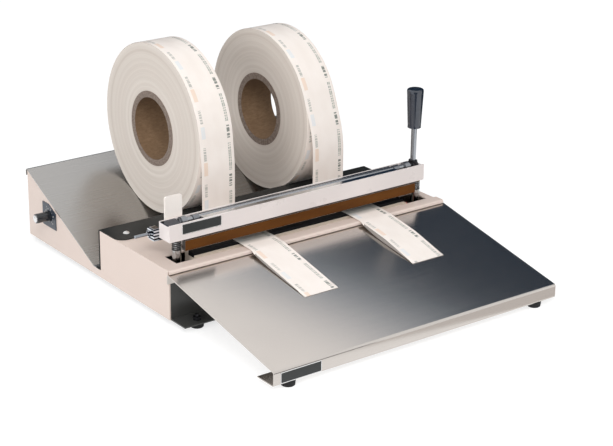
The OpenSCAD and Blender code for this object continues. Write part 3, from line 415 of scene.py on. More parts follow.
FINISHES = {
    "painted_panel": enamel("cream_enamel", CREAM),
    "head_paint": enamel("head_enamel", HEAD_CREAM, rough=0.3),
    "black_paint": enamel("black_enamel", (0.054, 0.055, 0.053), rough=0.36, peel=0.09, clear=0.1),
    "stainless_satin": rolled_steel("satin_sheet", STEEL, 0.165, LONG_GRAIN, cloud_rough=0.015),
    "stainless_polished": rolled_steel("polished_strip", (0.66, 0.66, 0.67), 0.14, LONG_GRAIN),
    "screw_steel": rolled_steel("zinc_plate", (0.72, 0.71, 0.7), 0.26, CAST_GRAIN),
    "black_bolt": rolled_steel("black_oxide", (0.05, 0.05, 0.055), 0.38, (400, 400, 400)),
    "foot_rubber": rubber("black_rubber", (0.012, 0.012, 0.013)),
    "jaw_profile": enamel("jaw_profile", (0.7, 0.6, 0.5), rough=0.4, peel=0.08, clear=0.05),
    # Black silicone, darkened further as painted shade under the head
    "silicone_pad": rubber("jaw_silicone_and_painted_shade", (0.004, 0.004, 0.0045), 0.12),
    "stand_steel": rolled_steel("stand_steel", (0.4, 0.4, 0.4), 0.42, (250, 250, 250)),
    "lead_sleeve": rubber("red_sleeve", (0.5, 0.035, 0.02)),
    "ground_steel": rolled_steel("ground_steel", (0.68, 0.68, 0.69), 0.16, COLUMN_GRAIN),
    "spring_steel": rolled_steel("spring_wire", (0.11, 0.11, 0.11), 0.26, (900, 900, 900)),
    "machined_steel": rolled_steel("machined_steel", (0.55, 0.55, 0.56), 0.28, RAIL_GRAIN),
    "moulded_black": moulded("black_moulding", (0.016, 0.016, 0.018)),
    "dial_face": moulded("dial_plate_face", (0.03, 0.042, 0.062), rough=0.35, depth=0.05, clear=0.2),
    "coil_iron": rolled_steel("lamination_iron", (0.22, 0.2, 0.19), 0.5, (1800, 80, 80), depth=0.5),
    "board_green": circuit_board("control_board_face"),
    "film": film_face("film_face"),
    "card": card("wound_card"),
    "heater_alloy": rolled_steel("heater_alloy", (0.6, 0.6, 0.6), 0.34, LONG_GRAIN),
    "element": rolled_steel("element_sheath", (0.3, 0.27, 0.25), 0.45, LONG_GRAIN),
    "insulation": moulded("insulation_board", (0.06, 0.045, 0.035), rough=0.7, grain=900, depth=0.3),
    "glass_cloth": glass_cloth("brown_glass_cloth"),
    "bush_bronze": rolled_steel("bush_bronze", (0.5, 0.33, 0.15), 0.3, COLUMN_GRAIN),
    "grip_black": moulded("grip_gloss", (0.012, 0.014, 0.018), rough=0.16, depth=0.03, clear=0.6),
    "tab_white": moulded("tab_plastic", (0.985, 0.915, 0.86), rough=0.38, depth=0.06, flow_depth=0.02),
    "blade_steel": rolled_steel("blade_steel", (0.66, 0.66, 0.67), 0.18, (60, 60, 1500)),
    "silver_cap": rolled_steel("spun_aluminium", (0.8, 0.8, 0.81), 0.22, (60, 1200, 1200)),
}
NODE_FINISHES = {
    "roll_trough": two_tone_trough("brushed_trough", TROUGH_STEEL, 0.24, TROUGH_BORDER),
    "lever_rod": rolled_steel("lever_chrome", (0.36, 0.38, 0.41), 0.1, (60, 60, 900)),
    "lever_grip": grip_lacquer("grip_lacquer"),
    "lever_hub": FINISHES["black_bolt"],
    "cutter_rail": rolled_steel("rail_chrome", (0.3, 0.32, 0.35), 0.12, RAIL_GRAIN),
    "rail_brackets": grooved_chrome("bracket_chrome"),
    "rail_nuts": grooved_chrome("nut_chrome"),
    "camshaft": rolled_steel("shaft_steel", (0.36, 0.37, 0.39), 0.2, RAIL_GRAIN),
    "cams": rolled_steel("cam_steel", (0.24, 0.25, 0.27), 0.24, RAIL_GRAIN),
    "bearing_blocks": rolled_steel("bearing_steel", (0.3, 0.31, 0.33), 0.28, CAST_GRAIN),
    "column_sockets": rolled_steel("socket_chrome", (0.46, 0.47, 0.47), 0.14, COLUMN_GRAIN),
}
EDGES = film_edges("film_layer_edges")
# Darker copy of the film for the folds of the hanging tubes: painted shade
FILM_FOLD_SHADE = film_face("film_fold_painted_shade", FOLD_SHADE)
# Nearly black-blue steel for the head's end plate: painted shade
END_PLATE_SHADE_STEEL = rolled_steel("end_plate_painted_shade", (0.03, 0.04, 0.062), 0.16, LONG_GRAIN)
PLATE_FIELD = moulded("bare_plate_field", (0.012, 0.016, 0.017), rough=0.35, depth=0.05, clear=0.2)


def dress_frame():
    for name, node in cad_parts.items():
        for place in node.material_slots:
            slot = place.material.name.split(".")[0]
            place.material = NODE_FINISHES.get(name) or FINISHES[slot]


def add_piece(name, points, faces, body, finish, sharp=35):
    """A mesh piece that rides on a body and takes the finish it is given."""
    mesh = bpy.data.meshes.new(name)
    mesh.from_pydata([tuple(point) for point in points], [], faces)
    mesh.validate()
    mesh.polygons.foreach_set("use_smooth", [True] * len(mesh.polygons))
    mesh.set_sharp_from_angle(angle=math.radians(sharp))
    mesh.materials.append(finish)
    piece = bpy.data.objects.new(name, mesh)
    bpy.context.scene.collection.objects.link(piece)
    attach(piece, body)
    return piece


def ring_faces(rings, sides, closed=False):
    """Quads between neighbouring rings of equally many points."""
    faces = []
    for i in range(rings if closed else rings - 1):
        ahead = (i + 1) % rings
        for k in range(sides):
            side = (k + 1) % sides
            faces.append((i * sides + k, i * sides + side, ahead * sides + side, ahead * sides + k))
    return faces


def capped_faces(rings, sides, base=0):
    """Quads between neighbouring rings, then a cap on the first ring and one on the last."""
    faces = ring_faces(rings, sides)
    faces.append(tuple(reversed(range(sides))))
    faces.append(tuple(range((rings - 1) * sides, rings * sides)))
    return [tuple(base + index for index in face) for face in faces]


def rounded_line(points, radii, step=math.radians(6)):
    """A line through 2-D points, with each inner corner replaced by an arc of its radius."""
    line = [Vector(points[0])]
    for before, corner, after, radius in zip(points, points[1:], points[2:], radii):
        corner = Vector(corner)
        back = (Vector(before) - corner).normalized()
        on = (Vector(after) - corner).normalized()
        between = math.acos(max(-1.0, min(1.0, back.dot(on))))
        reach = radius / math.tan(between / 2)
        centre = corner + (back + on).normalized() * (radius / math.sin(between / 2))
        start = corner + back * reach - centre
        finish = corner + on * reach - centre
        sweep = math.pi - between
        sign = 1 if start.x * finish.y > start.y * finish.x else -1
        count = max(2, math.ceil(sweep / step))
        for k in range(count + 1):
            angle = sign * sweep * k / count
            turned = Vector((start.x * math.cos(angle) - start.y * math.sin(angle),
                             start.x * math.sin(angle) + start.y * math.cos(angle)))
            line.append(centre + turned)
    line.append(Vector(points[-1]))
    return line


def spaced(line, longest):
    """The same line with long stretches cut into shorter ones."""
    cut = [line[0]]
    for start, end in zip(line, line[1:]):
        count = max(1, math.ceil((end - start).length / longest))
        cut.extend(start.lerp(end, k / count) for k in range(1, count + 1))
    return cut


def outward(line, i):
    """The unit vector square to a 2-D line at one of its points, on the right of its way."""
    along = (line[min(i + 1, len(line) - 1)] - line[max(i - 1, 0)]).normalized()
    return Vector((along.y, -along.x))


# Film rolls and webs. Lengths in millimetres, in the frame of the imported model.
FILM_WIDTH = 47.4
LAYER = 0.16
CORE_RADIUS = 47.05
REELS = {
    "left": {"x": -54.6, "y": 149.549, "z": 156.696, "radius": 106.5, "slack": 3.5,
             "lean": math.radians(7), "reach": 103, "arch": 3, "sag": 0.8},
    "right": {"x": 105.7, "y": 149.288, "z": 153.25, "radius": 103.5, "slack": 12.5,
              "lean": math.radians(22), "reach": 99, "arch": 5.5, "sag": 0.95},
}

# The web's way: round the roll, down to the deck, by corners in Y and Z to the front rail, and to the tray
WRAP_END = math.radians(196)
WRAP_STEPS = 48
WRAP_GAP = 0.08
FALL_GAP = 0.3
DECK_TOP = 67.1
PAD_TOP = 70.9
RAIL_TOP = 68.9
WEB_CORNERS = ((-9.5, DECK_TOP), (-28.2, PAD_TOP), (-46.2, PAD_TOP), (-67.5, RAIL_TOP))
WEB_BENDS = (120, 16, 30, 30, 30, 30, 60)
WEB_STEP = 6
TAIL_END_RISE = 0.3
FRONT_WALL = -63.5
TRAY_REAR_TOP = 64.3
TRAY_SLOPE = (57.3 - 16.8) / 205

# The web's shift to the left under the head, the sag of its lower layer, the folds at its edges, and the
# hang from which a fold takes the painted-shade film
TAIL_SHIFT = -5
HEAD_REAR = -12
HEAD_FRONT = -46
SHIFT_RUN = 40
SAG_START = -70
SAG_CLEARANCE = 0.4
WEB_COLUMNS = 16
FOLD_SHARE = 0.008
FOLD_BULGE = 0.12
FOLD_SHADE_HANG = 0.3

# The roll's side faces: rings, segments, the steps between layers and the rounding of the outer edges
ROLL_RINGS = 44
ROLL_SEGMENTS = 160
LEAST_STEP = 0.06
STEP_SPREAD = 0.3
EDGE_DROP = 0.12
EDGE_WIDTH = 0.2


def tray_height(y):
    return TRAY_REAR_TOP + (y - FRONT_WALL) * TRAY_SLOPE


def web_line(reel):
    """From the roll's back over its top, slack down to the deck, under the head and out over the tray."""
    lean = reel["lean"]
    wrap = []
    for k in range(WRAP_STEPS):
        angle = WRAP_END + (lean - WRAP_END) * k / WRAP_STEPS
        out = reel["radius"] + WRAP_GAP + (FALL_GAP - WRAP_GAP) * k / WRAP_STEPS
        wrap.append(Vector((reel["y"] - out * math.cos(angle), reel["z"] + out * math.sin(angle))))
    off_roll = reel["radius"] + FALL_GAP
    leave = (reel["y"] - off_roll * math.cos(lean), reel["z"] + off_roll * math.sin(lean))
    fall = reel["y"] - off_roll - reel["slack"]
    fall_top = leave[1] - (leave[0] - fall) / math.tan(lean)
    middle = FRONT_WALL - reel["reach"] / 2
    end = FRONT_WALL - reel["reach"]
    corners = [leave, (fall, fall_top), (fall, DECK_TOP), *WEB_CORNERS,
               (middle, tray_height(middle) + reel["arch"]), (end, tray_height(end) + TAIL_END_RISE)]
    return spaced(wrap + rounded_line(corners, WEB_BENDS), WEB_STEP)


def sag(spot, end, share_of_gap):
    """How far the flat tube's lower layer hangs below the upper one, from the rail to the tail's end."""
    if spot.x > SAG_START:
        return 0.0
    share = min(1.0, (SAG_START - spot.x) / (SAG_START - end))
    gap = max(0.0, spot.y - tray_height(spot.x) - SAG_CLEARANCE)
    return share_of_gap * gap * math.sin(math.pi * share) ** 0.5


def shift(y, end):
    """How far the web lies to the left: nothing at the roll and at the tail's end, most under the head."""
    if y > HEAD_REAR:
        return TAIL_SHIFT * max(0.0, 1 - (y - HEAD_REAR) / SHIFT_RUN)
    return TAIL_SHIFT * min(1.0, (end - y) / (end - HEAD_FRONT))


def add_web(side):
    """A flat tube of film: a lower and an upper layer, joined by a fold at each edge."""
    reel = REELS[side]
    line = web_line(reel)
    across = WEB_COLUMNS
    sides = 2 * across
    shares = [0, FOLD_SHARE, *(k / across for k in range(2, across - 1)), 1 - FOLD_SHARE, 1]
    points, places, hangs, run = [], [], [], 0.0
    for i, spot in enumerate(line):
        run += (spot - line[max(i - 1, 0)]).length
        hangs.append(sag(spot, line[-1].x, reel["sag"]))
        for k in range(sides):
            lower = k <= across
            share = shares[k] if lower else shares[sides - k]
            fold = k in (0, across)
            hang = hangs[-1] if lower else 0
            level = 0.5 if fold else (0 if lower else 1)
            at = spot + outward(line, i) * (level * LAYER - hang)
            bulge = FOLD_BULGE * hang * (2 * share - 1) if fold else 0
            x = reel["x"] + (share - 0.5) * FILM_WIDTH + shift(spot.x, line[-1].x) + bulge
            points.append((x * MM, at.x * MM, at.y * MM))
            places.append((share, run * MM))
    web = add_piece(f"{side}_film_web", points, capped_faces(len(line), sides), "stand",
                    FINISHES["film"])
    put_uv(web.data, places)
    # The folds where the lower layer hangs take the darker film: painted shade
    web.data.materials.append(FILM_FOLD_SHADE)
    for i, hang in enumerate(hangs[:-1]):
        if hang > FOLD_SHADE_HANG:
            for k in (0, across - 1, across, sides - 1):
                web.data.polygons[i * sides + k].material_index = 1
    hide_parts(f"{side}_web")


def put_uv(mesh, places):
    layer = mesh.uv_layers.new(name="film")
    for loop in mesh.loops:
        layer.data[loop.index].uv = places[loop.vertex_index]


def add_roll(side):
    """A wound roll: its side faces step a little from layer to layer, and it leaves room for its core."""
    reel = REELS[side]
    rim = reel["radius"]
    draw = random.Random(side)
    half = FILM_WIDTH / 2
    radii = [CORE_RADIUS + (rim - CORE_RADIUS) * k / ROLL_RINGS for k in range(ROLL_RINGS + 1)]

    def layer_steps():
        return [LEAST_STEP + STEP_SPREAD * draw.random() * draw.random() for _ in radii]

    left_side = [(radius, step - half) for radius, step in zip(radii, layer_steps())]
    right_side = [(radius, half - step) for radius, step in zip(reversed(radii), layer_steps())]
    left_edge = left_side.pop()[1]
    right_edge = right_side.pop(0)[1]
    outer = {len(left_side) + 1, len(left_side) + 2}
    profile = [*left_side, (rim - EDGE_DROP, left_edge), (rim, left_edge + EDGE_WIDTH),
               (rim, right_edge - EDGE_WIDTH), (rim - EDGE_DROP, right_edge), *right_side]
    points = []
    for k in range(ROLL_SEGMENTS):
        angle = 2 * math.pi * k / ROLL_SEGMENTS
        for radius, x in profile:
            points.append(((reel["x"] + x) * MM, (reel["y"] - radius * math.cos(angle)) * MM,
                           (reel["z"] + radius * math.sin(angle)) * MM))
    faces = ring_faces(ROLL_SEGMENTS, len(profile), closed=True)
    roll = add_piece(f"{side}_film_roll", points, faces, f"{side}_reel", EDGES)
    roll.data.materials.append(FINISHES["film"])
    layer = roll.data.uv_layers.new(name="film")
    around = 2 * math.pi * rim * MM
    for polygon in roll.data.polygons:
        spots = [divmod(index, len(profile)) for index in polygon.vertices]
        turns = [turn for turn, _ in spots]
        on_face = {ring for _, ring in spots} <= outer
        polygon.material_index = 1 if on_face else 0
        wraps = max(turns) == ROLL_SEGMENTS - 1 and min(turns) == 0
        for loop, (turn, ring) in zip(polygon.loop_indices, spots):
            share = (ROLL_SEGMENTS if wraps and turn == 0 else turn) / ROLL_SEGMENTS
            radius, x = profile[ring]
            face_place = (x / FILM_WIDTH + 0.5, share * around)
            layer.data[loop].uv = face_place if on_face else (radius * MM, share)
    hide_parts(f"{side}_roll")


# Return springs round the guide columns. The curls at both ends lie closed.
SPRING_COLUMNS = ((-163.1, -35.5), (190.9, -35.5))
SPRING_FOOT = 78.0
SPRING_HEIGHT = 11.2
SPRING_WIRE = 1.2
SPRING_TRIM = 0.02
SPRING_RADIUS = 4.9
SPRING_TURNS = 5.5
CLOSED_TURNS = 0.6
STEPS_PER_TURN = 32
WIRE_SIDES = 10


def add_springs():
    """Two wound springs with closed ends."""
    wire = SPRING_WIRE / 2 - SPRING_TRIM
    count = int(SPRING_TURNS * STEPS_PER_TURN)
    points, faces = [], []
    for x, y in SPRING_COLUMNS:
        faces += capped_faces(count + 1, WIRE_SIDES, len(points))
        for i in range(count + 1):
            turn = SPRING_TURNS * i / count
            angle = 2 * math.pi * turn
            eased = min(1.0, max(0.0, (turn - CLOSED_TURNS) / (SPRING_TURNS - 2 * CLOSED_TURNS)))
            rise = SPRING_WIRE / 2 + (SPRING_HEIGHT - SPRING_WIRE) * eased
            out = Vector((math.cos(angle), math.sin(angle), 0))
            spot = Vector((x, y, SPRING_FOOT + rise)) + out * SPRING_RADIUS
            for k in range(WIRE_SIDES):
                around = 2 * math.pi * k / WIRE_SIDES
                up = Vector((0, 0, wire * math.sin(around)))
                points.append((spot + out * (wire * math.cos(around)) + up) * MM)
    springs = add_piece("wound_return_springs", points, faces, "stand", FINISHES["spring_steel"],
                        sharp=60)
    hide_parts("return_springs")
    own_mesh(springs)


# Brown cloth: its thickness, how far in its middle lies, its margins, its corners and its faint pulls
CLOTH_THICK = 0.3
CLOTH_IN = 0.25
CLOTH_MARGIN = 0.2
CLOTH_CORNERS = (0.5, 0.5)
CLOTH_ARC_STEP = math.radians(18)
CLOTH_STEP = 1.6
CLOTH_COLUMNS = 170
PULL_HEIGHT = 0.05
PULL_WAVE = (0.21, 0.35)
PULL_SWELL = 0.047


def add_cloth_cover():
    """The brown cloth pulled round the heater bar: a thin trough with rounded corners and faint pulls."""
    low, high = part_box("cloth_cover")
    low, high = low / MM, high / MM
    front, rear = low.y + CLOTH_IN, high.y - CLOTH_IN
    bottom, top = low.z + CLOTH_IN, high.z - CLOTH_MARGIN
    corners = [(front, top), (front, bottom), (rear, bottom), (rear, top)]
    line = spaced(rounded_line(corners, CLOTH_CORNERS, CLOTH_ARC_STEP), CLOTH_STEP)
    length = high.x - low.x - 2 * CLOTH_MARGIN
    points = []
    for i in range(CLOTH_COLUMNS + 1):
        x = low.x + CLOTH_MARGIN + length * i / CLOTH_COLUMNS
        outer, inner = [], []
        for k, spot in enumerate(line):
            pull = PULL_HEIGHT * math.sin(PULL_WAVE[0] * x + PULL_WAVE[1] * k) * math.sin(PULL_SWELL * x)
            outer.append(spot + outward(line, k) * (pull + CLOTH_THICK / 2))
            inner.append(spot + outward(line, k) * (pull - CLOTH_THICK / 2))
        points.extend(Vector((x, spot.x, spot.y)) * MM for spot in [*outer, *reversed(inner)])
    faces = capped_faces(CLOTH_COLUMNS + 1, 2 * len(line))
    cover = add_piece("wrapped_cloth_cover", points, faces, "head", FINISHES["glass_cloth"],
                      sharp=50)
    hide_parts("cloth_cover")


# Bare name plates: size, corner, inset and rise of each ring, and the middles on their front faces
PLATE_SIZE = (54, 13)
PLATE_CORNER = 1.4
PLATE_PROFILE = ((0, 0), (0, 0.4), (0.15, 0.5), (0.75, 0.5), (0.85, 0.3))
PLATES = {
    "head_name_plate": {"body": "head", "node": "head_channel", "x": -133.4, "z": 103.9},
    "tray_name_plate": {"body": "stand", "node": "front_tray", "x": -158.5, "z": 15.1},
}

# Plate on the head's left end, inside the channel's wall, with the inset and drop of each ring
HEAD_WALL = 2.1
END_PLATE_GAP = 1.4
END_PLATE_CORNER = 1.2
END_PLATE_THICK = 1.2
END_PLATE_PROFILE = ((0.2, END_PLATE_THICK), (0, END_PLATE_THICK - 0.2), (0, 0.3), (0.3, 0))
PLATE_SHARP = 30


def rounded_box(width, height, radius, steps=5):
    """Points of a rectangle with round corners, counter-clockwise from the lower right corner."""
    loop = []
    for quarter, (side, level) in enumerate(((1, -1), (1, 1), (-1, 1), (-1, -1))):
        for k in range(steps + 1):
            angle = math.radians(90 * (quarter - 1 + k / steps))
            loop.append((side * (width / 2 - radius) + radius * math.cos(angle),
                         level * (height / 2 - radius) + radius * math.sin(angle)))
    return loop


def stacked_rings(size, corner, profile, place):
    """Points and faces of a stack of rounded rings, by the inset of each and its step along the normal."""
    width, height = size
    points = []
    for inset, step in profile:
        for u, v in rounded_box(width - 2 * inset, height - 2 * inset, corner - inset):
            points.append(place(u, v, step) * MM)
    return points, capped_faces(len(profile), len(points) // len(profile))


def add_plate(name, body, node, x, z):
    """A thin plate with a bright rim round a dark, empty field."""
    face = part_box(node)[0].y / MM

    def on_face(u, v, rise):
        return Vector((x + u, face - rise, z + v))

    points, faces = stacked_rings(PLATE_SIZE, PLATE_CORNER, PLATE_PROFILE, on_face)
    plate = add_piece(name, points, faces, body, FINISHES["silver_cap"], sharp=PLATE_SHARP)
    plate.data.materials.append(PLATE_FIELD)
    plate.data.polygons[len(faces) - 1].material_index = 1


def add_end_plate():
    """A polished plate with broken edges that closes the top of the head at its left end, nearly black-blue
    as painted shade for the head's open, shaded end.
    """
    low, high = (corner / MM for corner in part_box("head_channel"))
    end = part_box("camshaft")[0].x / MM - END_PLATE_GAP
    size = (end - low.x, high.y - low.y - 2 * HEAD_WALL)
    middle = Vector(((low.x + end) / 2, (low.y + high.y) / 2, high.z))

    def on_top(u, v, drop):
        return middle + Vector((u, v, -drop))

    points, faces = stacked_rings(size, END_PLATE_CORNER, END_PLATE_PROFILE, on_top)
    add_piece("head_end_shade_plate", points, faces, "head", END_PLATE_SHADE_STEEL, sharp=PLATE_SHARP)


# Dial marks: ticks and numbers round the knob, seen from the left. Even ticks are the wider ones.
DIAL_CENTRE = (210.1, 48.2)
DIAL_STEPS = 10
DIAL_SWEEP = 270
TICK_REACH = (8.4, 9.9)
EVEN_TICK_HALF = 0.28
ODD_TICK_HALF = 0.18
NUMBER_RADIUS = 11.6
NUMBER_HEIGHT = 2.4
MARK_RISE = 0.06


def add_dial_marks():
    """White ticks from 0 to 10 and the even numbers, as thin raised print on the dial plate."""
    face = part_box("dial_plate")[0].x / MM
    points, faces = [], []

    def put(flat_points, flat_faces):
        """Flat shapes given by their way to the viewer's right and upwards from the dial's middle."""
        base = len(points)
        for right, up in flat_points:
            points.append(Vector((face - MARK_RISE, DIAL_CENTRE[0] - right, DIAL_CENTRE[1] + up)) * MM)
        faces.extend(tuple(base + index for index in flat_face) for flat_face in flat_faces)

    for step in range(DIAL_STEPS + 1):
        even = step % 2 == 0
        turn = math.radians(DIAL_SWEEP * (step / DIAL_STEPS - 0.5))
        out = Vector((math.sin(turn), math.cos(turn)))
        across = Vector((out.y, -out.x)) * (EVEN_TICK_HALF if even else ODD_TICK_HALF)
        near, far = (out * reach for reach in TICK_REACH)
        put([near - across, near + across, far + across, far - across], [(0, 1, 2, 3)])
        if even:
            put(*number_shape(str(step), out * NUMBER_RADIUS))
    marks = add_piece("dial_marks", points, faces, "stand", FINISHES["tab_white"])
    thicken = marks.modifiers.new("print", "SOLIDIFY")
    thicken.thickness = 2 * MARK_RISE * MM
    thicken.offset = 0


def number_shape(word, middle):
    """Points and faces of a number, centred on a 2-D point, in millimetres."""
    curve = bpy.data.curves.new("number", "FONT")
    curve.body = word
    curve.size = NUMBER_HEIGHT
    curve.align_x = "CENTER"
    curve.align_y = "CENTER"
    curve.resolution_u = 3
    holder = bpy.data.objects.new("number", curve)
    bpy.context.scene.collection.objects.link(holder)
    bpy.context.view_layer.update()
    mesh = bpy.data.meshes.new_from_object(holder)
    points = [middle + vertex.co.xy for vertex in mesh.vertices]
    faces = [tuple(face.vertices) for face in mesh.polygons]
    bpy.data.objects.remove(holder)
    bpy.data.curves.remove(curve)
    bpy.data.meshes.remove(mesh)
    return points, faces


# Knob's pointer: half its width, foot, margin at the tip, and the depth and trim of its two layers
POINTER_HALF = 0.4
POINTER_FOOT = 0.6
POINTER_TIP_MARGIN = 0.7
POINTER_LAYERS = ((0.05, 0), (-0.12, 0.08))


def add_knob_line():
    """A dark pointer line with a pointed tip on the knob's cap."""
    low, high = (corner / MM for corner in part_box("knob_cap"))
    y, z = (low.y + high.y) / 2, (low.z + high.z) / 2
    tip = (high.z - low.z) / 2 - POINTER_TIP_MARGIN
    points = []
    for depth, trim in POINTER_LAYERS:
        half, foot, shoulder = POINTER_HALF - trim, POINTER_FOOT + trim, tip - 2 * trim
        outline = ((-half, foot), (half, foot), (half, shoulder), (0, tip - trim), (-half, shoulder))
        points.extend(Vector((low.x + depth, y + side, z + level)) * MM for side, level in outline)
    faces = capped_faces(len(POINTER_LAYERS), len(points) // len(POINTER_LAYERS))
    add_piece("knob_pointer", points, faces, "knob", FINISHES["moulded_black"])


# Rear panel's screws: distance from its edges, radius and height, socket, and dome in shares of both
PANEL_SCREW_IN = 9
PANEL_SCREW = (3.0, 1.7)
SOCKET_RADIUS = 1.3
SOCKET_FLOOR = 0.35
SCREW_DOME = ((0.62, 0.93), (0.9, 0.62), (1, 0.25), (1, 0))
SCREW_SIDES = 24


def add_panel_screws():
    """Small domed screws with a socket, at the rear panel's corners and the middles of its long edges."""
    low, high = (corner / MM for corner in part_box("rear_panel"))
    radius, height = PANEL_SCREW
    profile = [(SOCKET_RADIUS, SOCKET_FLOOR * height), (SOCKET_RADIUS, height)]
    profile += [(reach * radius, rise * height) for reach, rise in SCREW_DOME]
    points, faces = [], []
    for x in (low.x + PANEL_SCREW_IN, (low.x + high.x) / 2, high.x - PANEL_SCREW_IN):
        for z in (low.z + PANEL_SCREW_IN, high.z - PANEL_SCREW_IN):
            faces += capped_faces(len(profile), SCREW_SIDES, len(points))
            for reach, rise in profile:
                for k in range(SCREW_SIDES):
                    angle = 2 * math.pi * k / SCREW_SIDES
                    out = Vector((reach * math.cos(angle), rise, reach * math.sin(angle)))
                    points.append((Vector((x, high.y, z)) + out) * MM)
    add_piece("panel_screws", points, faces, "stand", FINISHES["black_bolt"], sharp=30)


# Studio in metres: the surround's light on the part, lamps with place, aim, size and power, and the floor
WORLD_LIGHT = 0.62
LAMPS = (
    ("key", (-1.5, -2.2, 2.6), (0, 0, 0.05), 1.6, 51),
    ("side_fill", (-1.7, -0.5, 0.5), (0, 0.05, 0.1), 1.0, 11),
)
FLOOR_REACH = 14
FLOOR_GREY = (0.42, 0.42, 0.42)
FLOOR_GLOW = 0.72

# Light of the cards that only mirrors see
NAVY = (0.0, 0.014, 0.036)
SLATE = (0.27, 0.34, 0.42)
SOFT_BOX = (1.12, 1.1, 1.09)
DUSK = (0.05, 0.065, 0.085)
FLANGE_GLOW = (0.76, 0.73, 0.71)

# Sky card: a patch of a very wide sphere, by azimuths from +Y towards +X and by elevations, in degrees
SKY_RADIUS = 40.0
SKY_AZIMUTHS = (14, 60)
SKY_RISES = (30, 56)
SKY_COLUMNS = 48
SKY_ROWS = 12

# Upright cards on one line: its middle, its normal's azimuth, its reach, then heights and light at both
UPRIGHT_MIDDLE = (0.455, 0.24)
UPRIGHT_FACING = math.radians(54)
UPRIGHT_REACH = (-0.75, 1.0)
UPRIGHT_CARDS = (
    ("navy_card", (0.0, 0.51), (NAVY, NAVY)),
    ("slate_card", (0.51, 0.587), (NAVY, SLATE)),
    ("graded_card", (0.587, 0.695), (SLATE, SOFT_BOX)),
)

# Floor cards: their height over the floor, then corners and light
FLOOR_CARD_HEIGHT = 0.001
FLOOR_CARDS = (
    ("front_floor_card", ((-1.6, -0.36), (0.02, -0.36), (0.12, -1.8), (-1.6, -1.8)), DUSK),
    ("right_floor_card", ((0.62, -0.36), (1.9, -0.36), (1.9, 1.2), (0.62, 1.2)), DUSK),
    ("flange_floor_card", ((-0.2, -0.315), (0.25, -0.273), (0.25, -0.36), (-0.2, -0.36)), FLANGE_GLOW),
)


def make_stage():
    """A wide floor that keeps the shadow, cards for the mirrors, a white surround and soft lamps."""
    add_floor()
    add_sky_card()
    add_straight_cards()
    light_world()
    for name, place, aim, size, power in LAMPS:
        data = bpy.data.lights.new(name, "AREA")
        data.shape = "DISK"
        data.size = size
        data.energy = power
        lamp = bpy.data.objects.new(name, data)
        way = Vector(aim) - Vector(place)
        lamp.location = place
        lamp.rotation_mode = "QUATERNION"
        lamp.rotation_quaternion = way.to_track_quat("-Z", "Y")
        lamp.visible_glossy = False
        bpy.context.scene.collection.objects.link(lamp)


def light_world():
    """A white surround that shows at full strength and lights the part with less."""
    world = bpy.data.worlds.new("studio")
    world.use_nodes = True
    tree = world.node_tree
    background = tree.nodes["Background"]
    background.inputs["Color"].default_value = (1, 1, 1, 1)
    shown = seen_rays(tree)
    level = tree.nodes.new("ShaderNodeMapRange")
    level.inputs["To Min"].default_value = WORLD_LIGHT
    level.inputs["To Max"].default_value = 1.0
    tree.links.new(shown, level.inputs["Value"])
    tree.links.new(level.outputs[0], background.inputs["Strength"])
    bpy.context.scene.world = world


def seen_rays(tree):
    """1 for camera, glossy and transmission rays, 0 for the rest."""
    path = tree.nodes.new("ShaderNodeLightPath")
    total = path.outputs["Is Camera Ray"]
    for other in ("Is Glossy Ray", "Is Transmission Ray"):
        larger = tree.nodes.new("ShaderNodeMath")
        larger.operation = "MAXIMUM"
        tree.links.new(total, larger.inputs[0])
        tree.links.new(path.outputs[other], larger.inputs[1])
        total = larger.outputs[0]
    return total


def add_floor():
    corners = ((-1, -1), (1, -1), (1, 1), (-1, 1))
    floor_mesh = bpy.data.meshes.new("studio_floor")
    floor_mesh.from_pydata([(x * FLOOR_REACH, y * FLOOR_REACH, 0) for x, y in corners], [], [(0, 1, 2, 3)])
    floor = bpy.data.objects.new("studio_floor", floor_mesh)
    bpy.context.scene.collection.objects.link(floor)
    floor_mesh.materials.append(floor_finish())


def floor_finish():
    """Pale floor: part of its brightness is its own for the rays that see it, so that it shows white."""
    material = bpy.data.materials.new("studio_floor")
    material.use_nodes = True
    tree = material.node_tree
    tree.nodes.clear()
    diffuse = tree.nodes.new("ShaderNodeBsdfDiffuse")
    diffuse.inputs["Color"].default_value = (*FLOOR_GREY, 1)
    glow = tree.nodes.new("ShaderNodeEmission")
    total = tree.nodes.new("ShaderNodeAddShader")
    out = tree.nodes.new("ShaderNodeOutputMaterial")
    level = tree.nodes.new("ShaderNodeMath")
    level.operation = "MULTIPLY"
    level.inputs[1].default_value = FLOOR_GLOW
    tree.links.new(seen_rays(tree), level.inputs[0])
    tree.links.new(level.outputs[0], glow.inputs["Strength"])
    tree.links.new(diffuse.outputs[0], total.inputs[0])
    tree.links.new(glow.outputs[0], total.inputs[1])
    tree.links.new(total.outputs[0], out.inputs["Surface"])
    return material


def add_sky_card():
    points = []
    for i in range(SKY_COLUMNS + 1):
        azimuth = math.radians(SKY_AZIMUTHS[0] + (SKY_AZIMUTHS[1] - SKY_AZIMUTHS[0]) * i / SKY_COLUMNS)
        for k in range(SKY_ROWS + 1):
            rise = math.radians(SKY_RISES[0] + (SKY_RISES[1] - SKY_RISES[0]) * k / SKY_ROWS)
            level = SKY_RADIUS * math.cos(rise)
            height = SKY_RADIUS * math.sin(rise)
            points.append((level * math.sin(azimuth), level * math.cos(azimuth), height))
    step = SKY_ROWS + 1
    faces = [(i * step + k, (i + 1) * step + k, (i + 1) * step + k + 1, i * step + k + 1)
             for i in range(SKY_COLUMNS) for k in range(SKY_ROWS)]
    add_card("soft_box_card", points, faces, SOFT_BOX, SOFT_BOX)


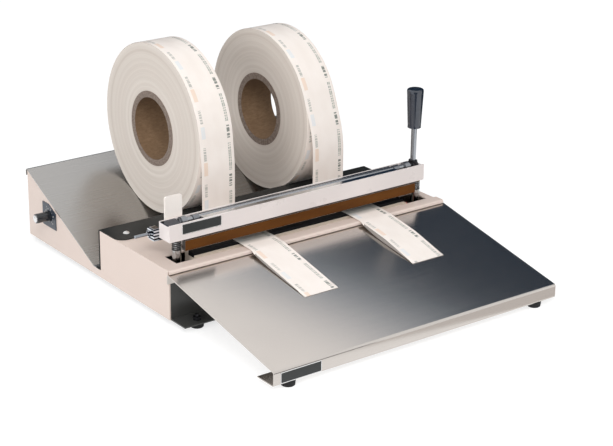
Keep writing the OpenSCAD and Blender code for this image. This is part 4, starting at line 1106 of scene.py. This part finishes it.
def add_straight_cards():
    """The upright cards, one above the other, and the cards on the floor."""
    along = Vector((math.cos(UPRIGHT_FACING), -math.sin(UPRIGHT_FACING)))
    near, far = (Vector(UPRIGHT_MIDDLE) + along * reach for reach in UPRIGHT_REACH)
    for name, (bottom, top), light in UPRIGHT_CARDS:
        points = [(*near, bottom), (*far, bottom), (*far, top), (*near, top)]
        add_card(name, points, [(0, 1, 2, 3)], *light)
    for name, corners, colour in FLOOR_CARDS:
        points = [(x, y, FLOOR_CARD_HEIGHT) for x, y in corners]
        add_card(name, points, [(0, 1, 2, 3)], colour, colour)


def add_card(name, points, faces, low_light, high_light):
    """A glowing card, graded from its lowest to its highest point, that only mirrors see."""
    mesh = bpy.data.meshes.new(name)
    mesh.from_pydata(points, [], faces)
    material = bpy.data.materials.new(name)
    material.use_nodes = True
    tree = material.node_tree
    tree.nodes.clear()
    glow = tree.nodes.new("ShaderNodeEmission")
    glow.inputs["Color"].default_value = (*low_light, 1)
    out = tree.nodes.new("ShaderNodeOutputMaterial")
    tree.links.new(glow.outputs[0], out.inputs["Surface"])
    if low_light != high_light:
        place = tree.nodes.new("ShaderNodeTexCoord")
        mix = tree.nodes.new("ShaderNodeMix")
        mix.data_type = "RGBA"
        mix.inputs[6].default_value = (*low_light, 1)
        mix.inputs[7].default_value = (*high_light, 1)
        height = tree.nodes.new("ShaderNodeSeparateXYZ")
        tree.links.new(place.outputs["Generated"], height.inputs[0])
        tree.links.new(height.outputs["Z"], mix.inputs[0])
        tree.links.new(mix.outputs[2], glow.inputs["Color"])
    mesh.materials.append(material)
    board = bpy.data.objects.new(name, mesh)
    board.visible_camera = False
    board.visible_diffuse = False
    board.visible_shadow = False
    bpy.context.scene.collection.objects.link(board)


make_camera()
dress_frame()
for reel_side in REELS:
    add_roll(reel_side)
    add_web(reel_side)
add_springs()
add_cloth_cover()
for plate_name, plate_place in PLATES.items():
    add_plate(plate_name, **plate_place)
add_end_plate()
add_dial_marks()
add_knob_line()
add_panel_screws()
make_stage()
bpy.context.scene.view_settings.view_transform = "Standard"
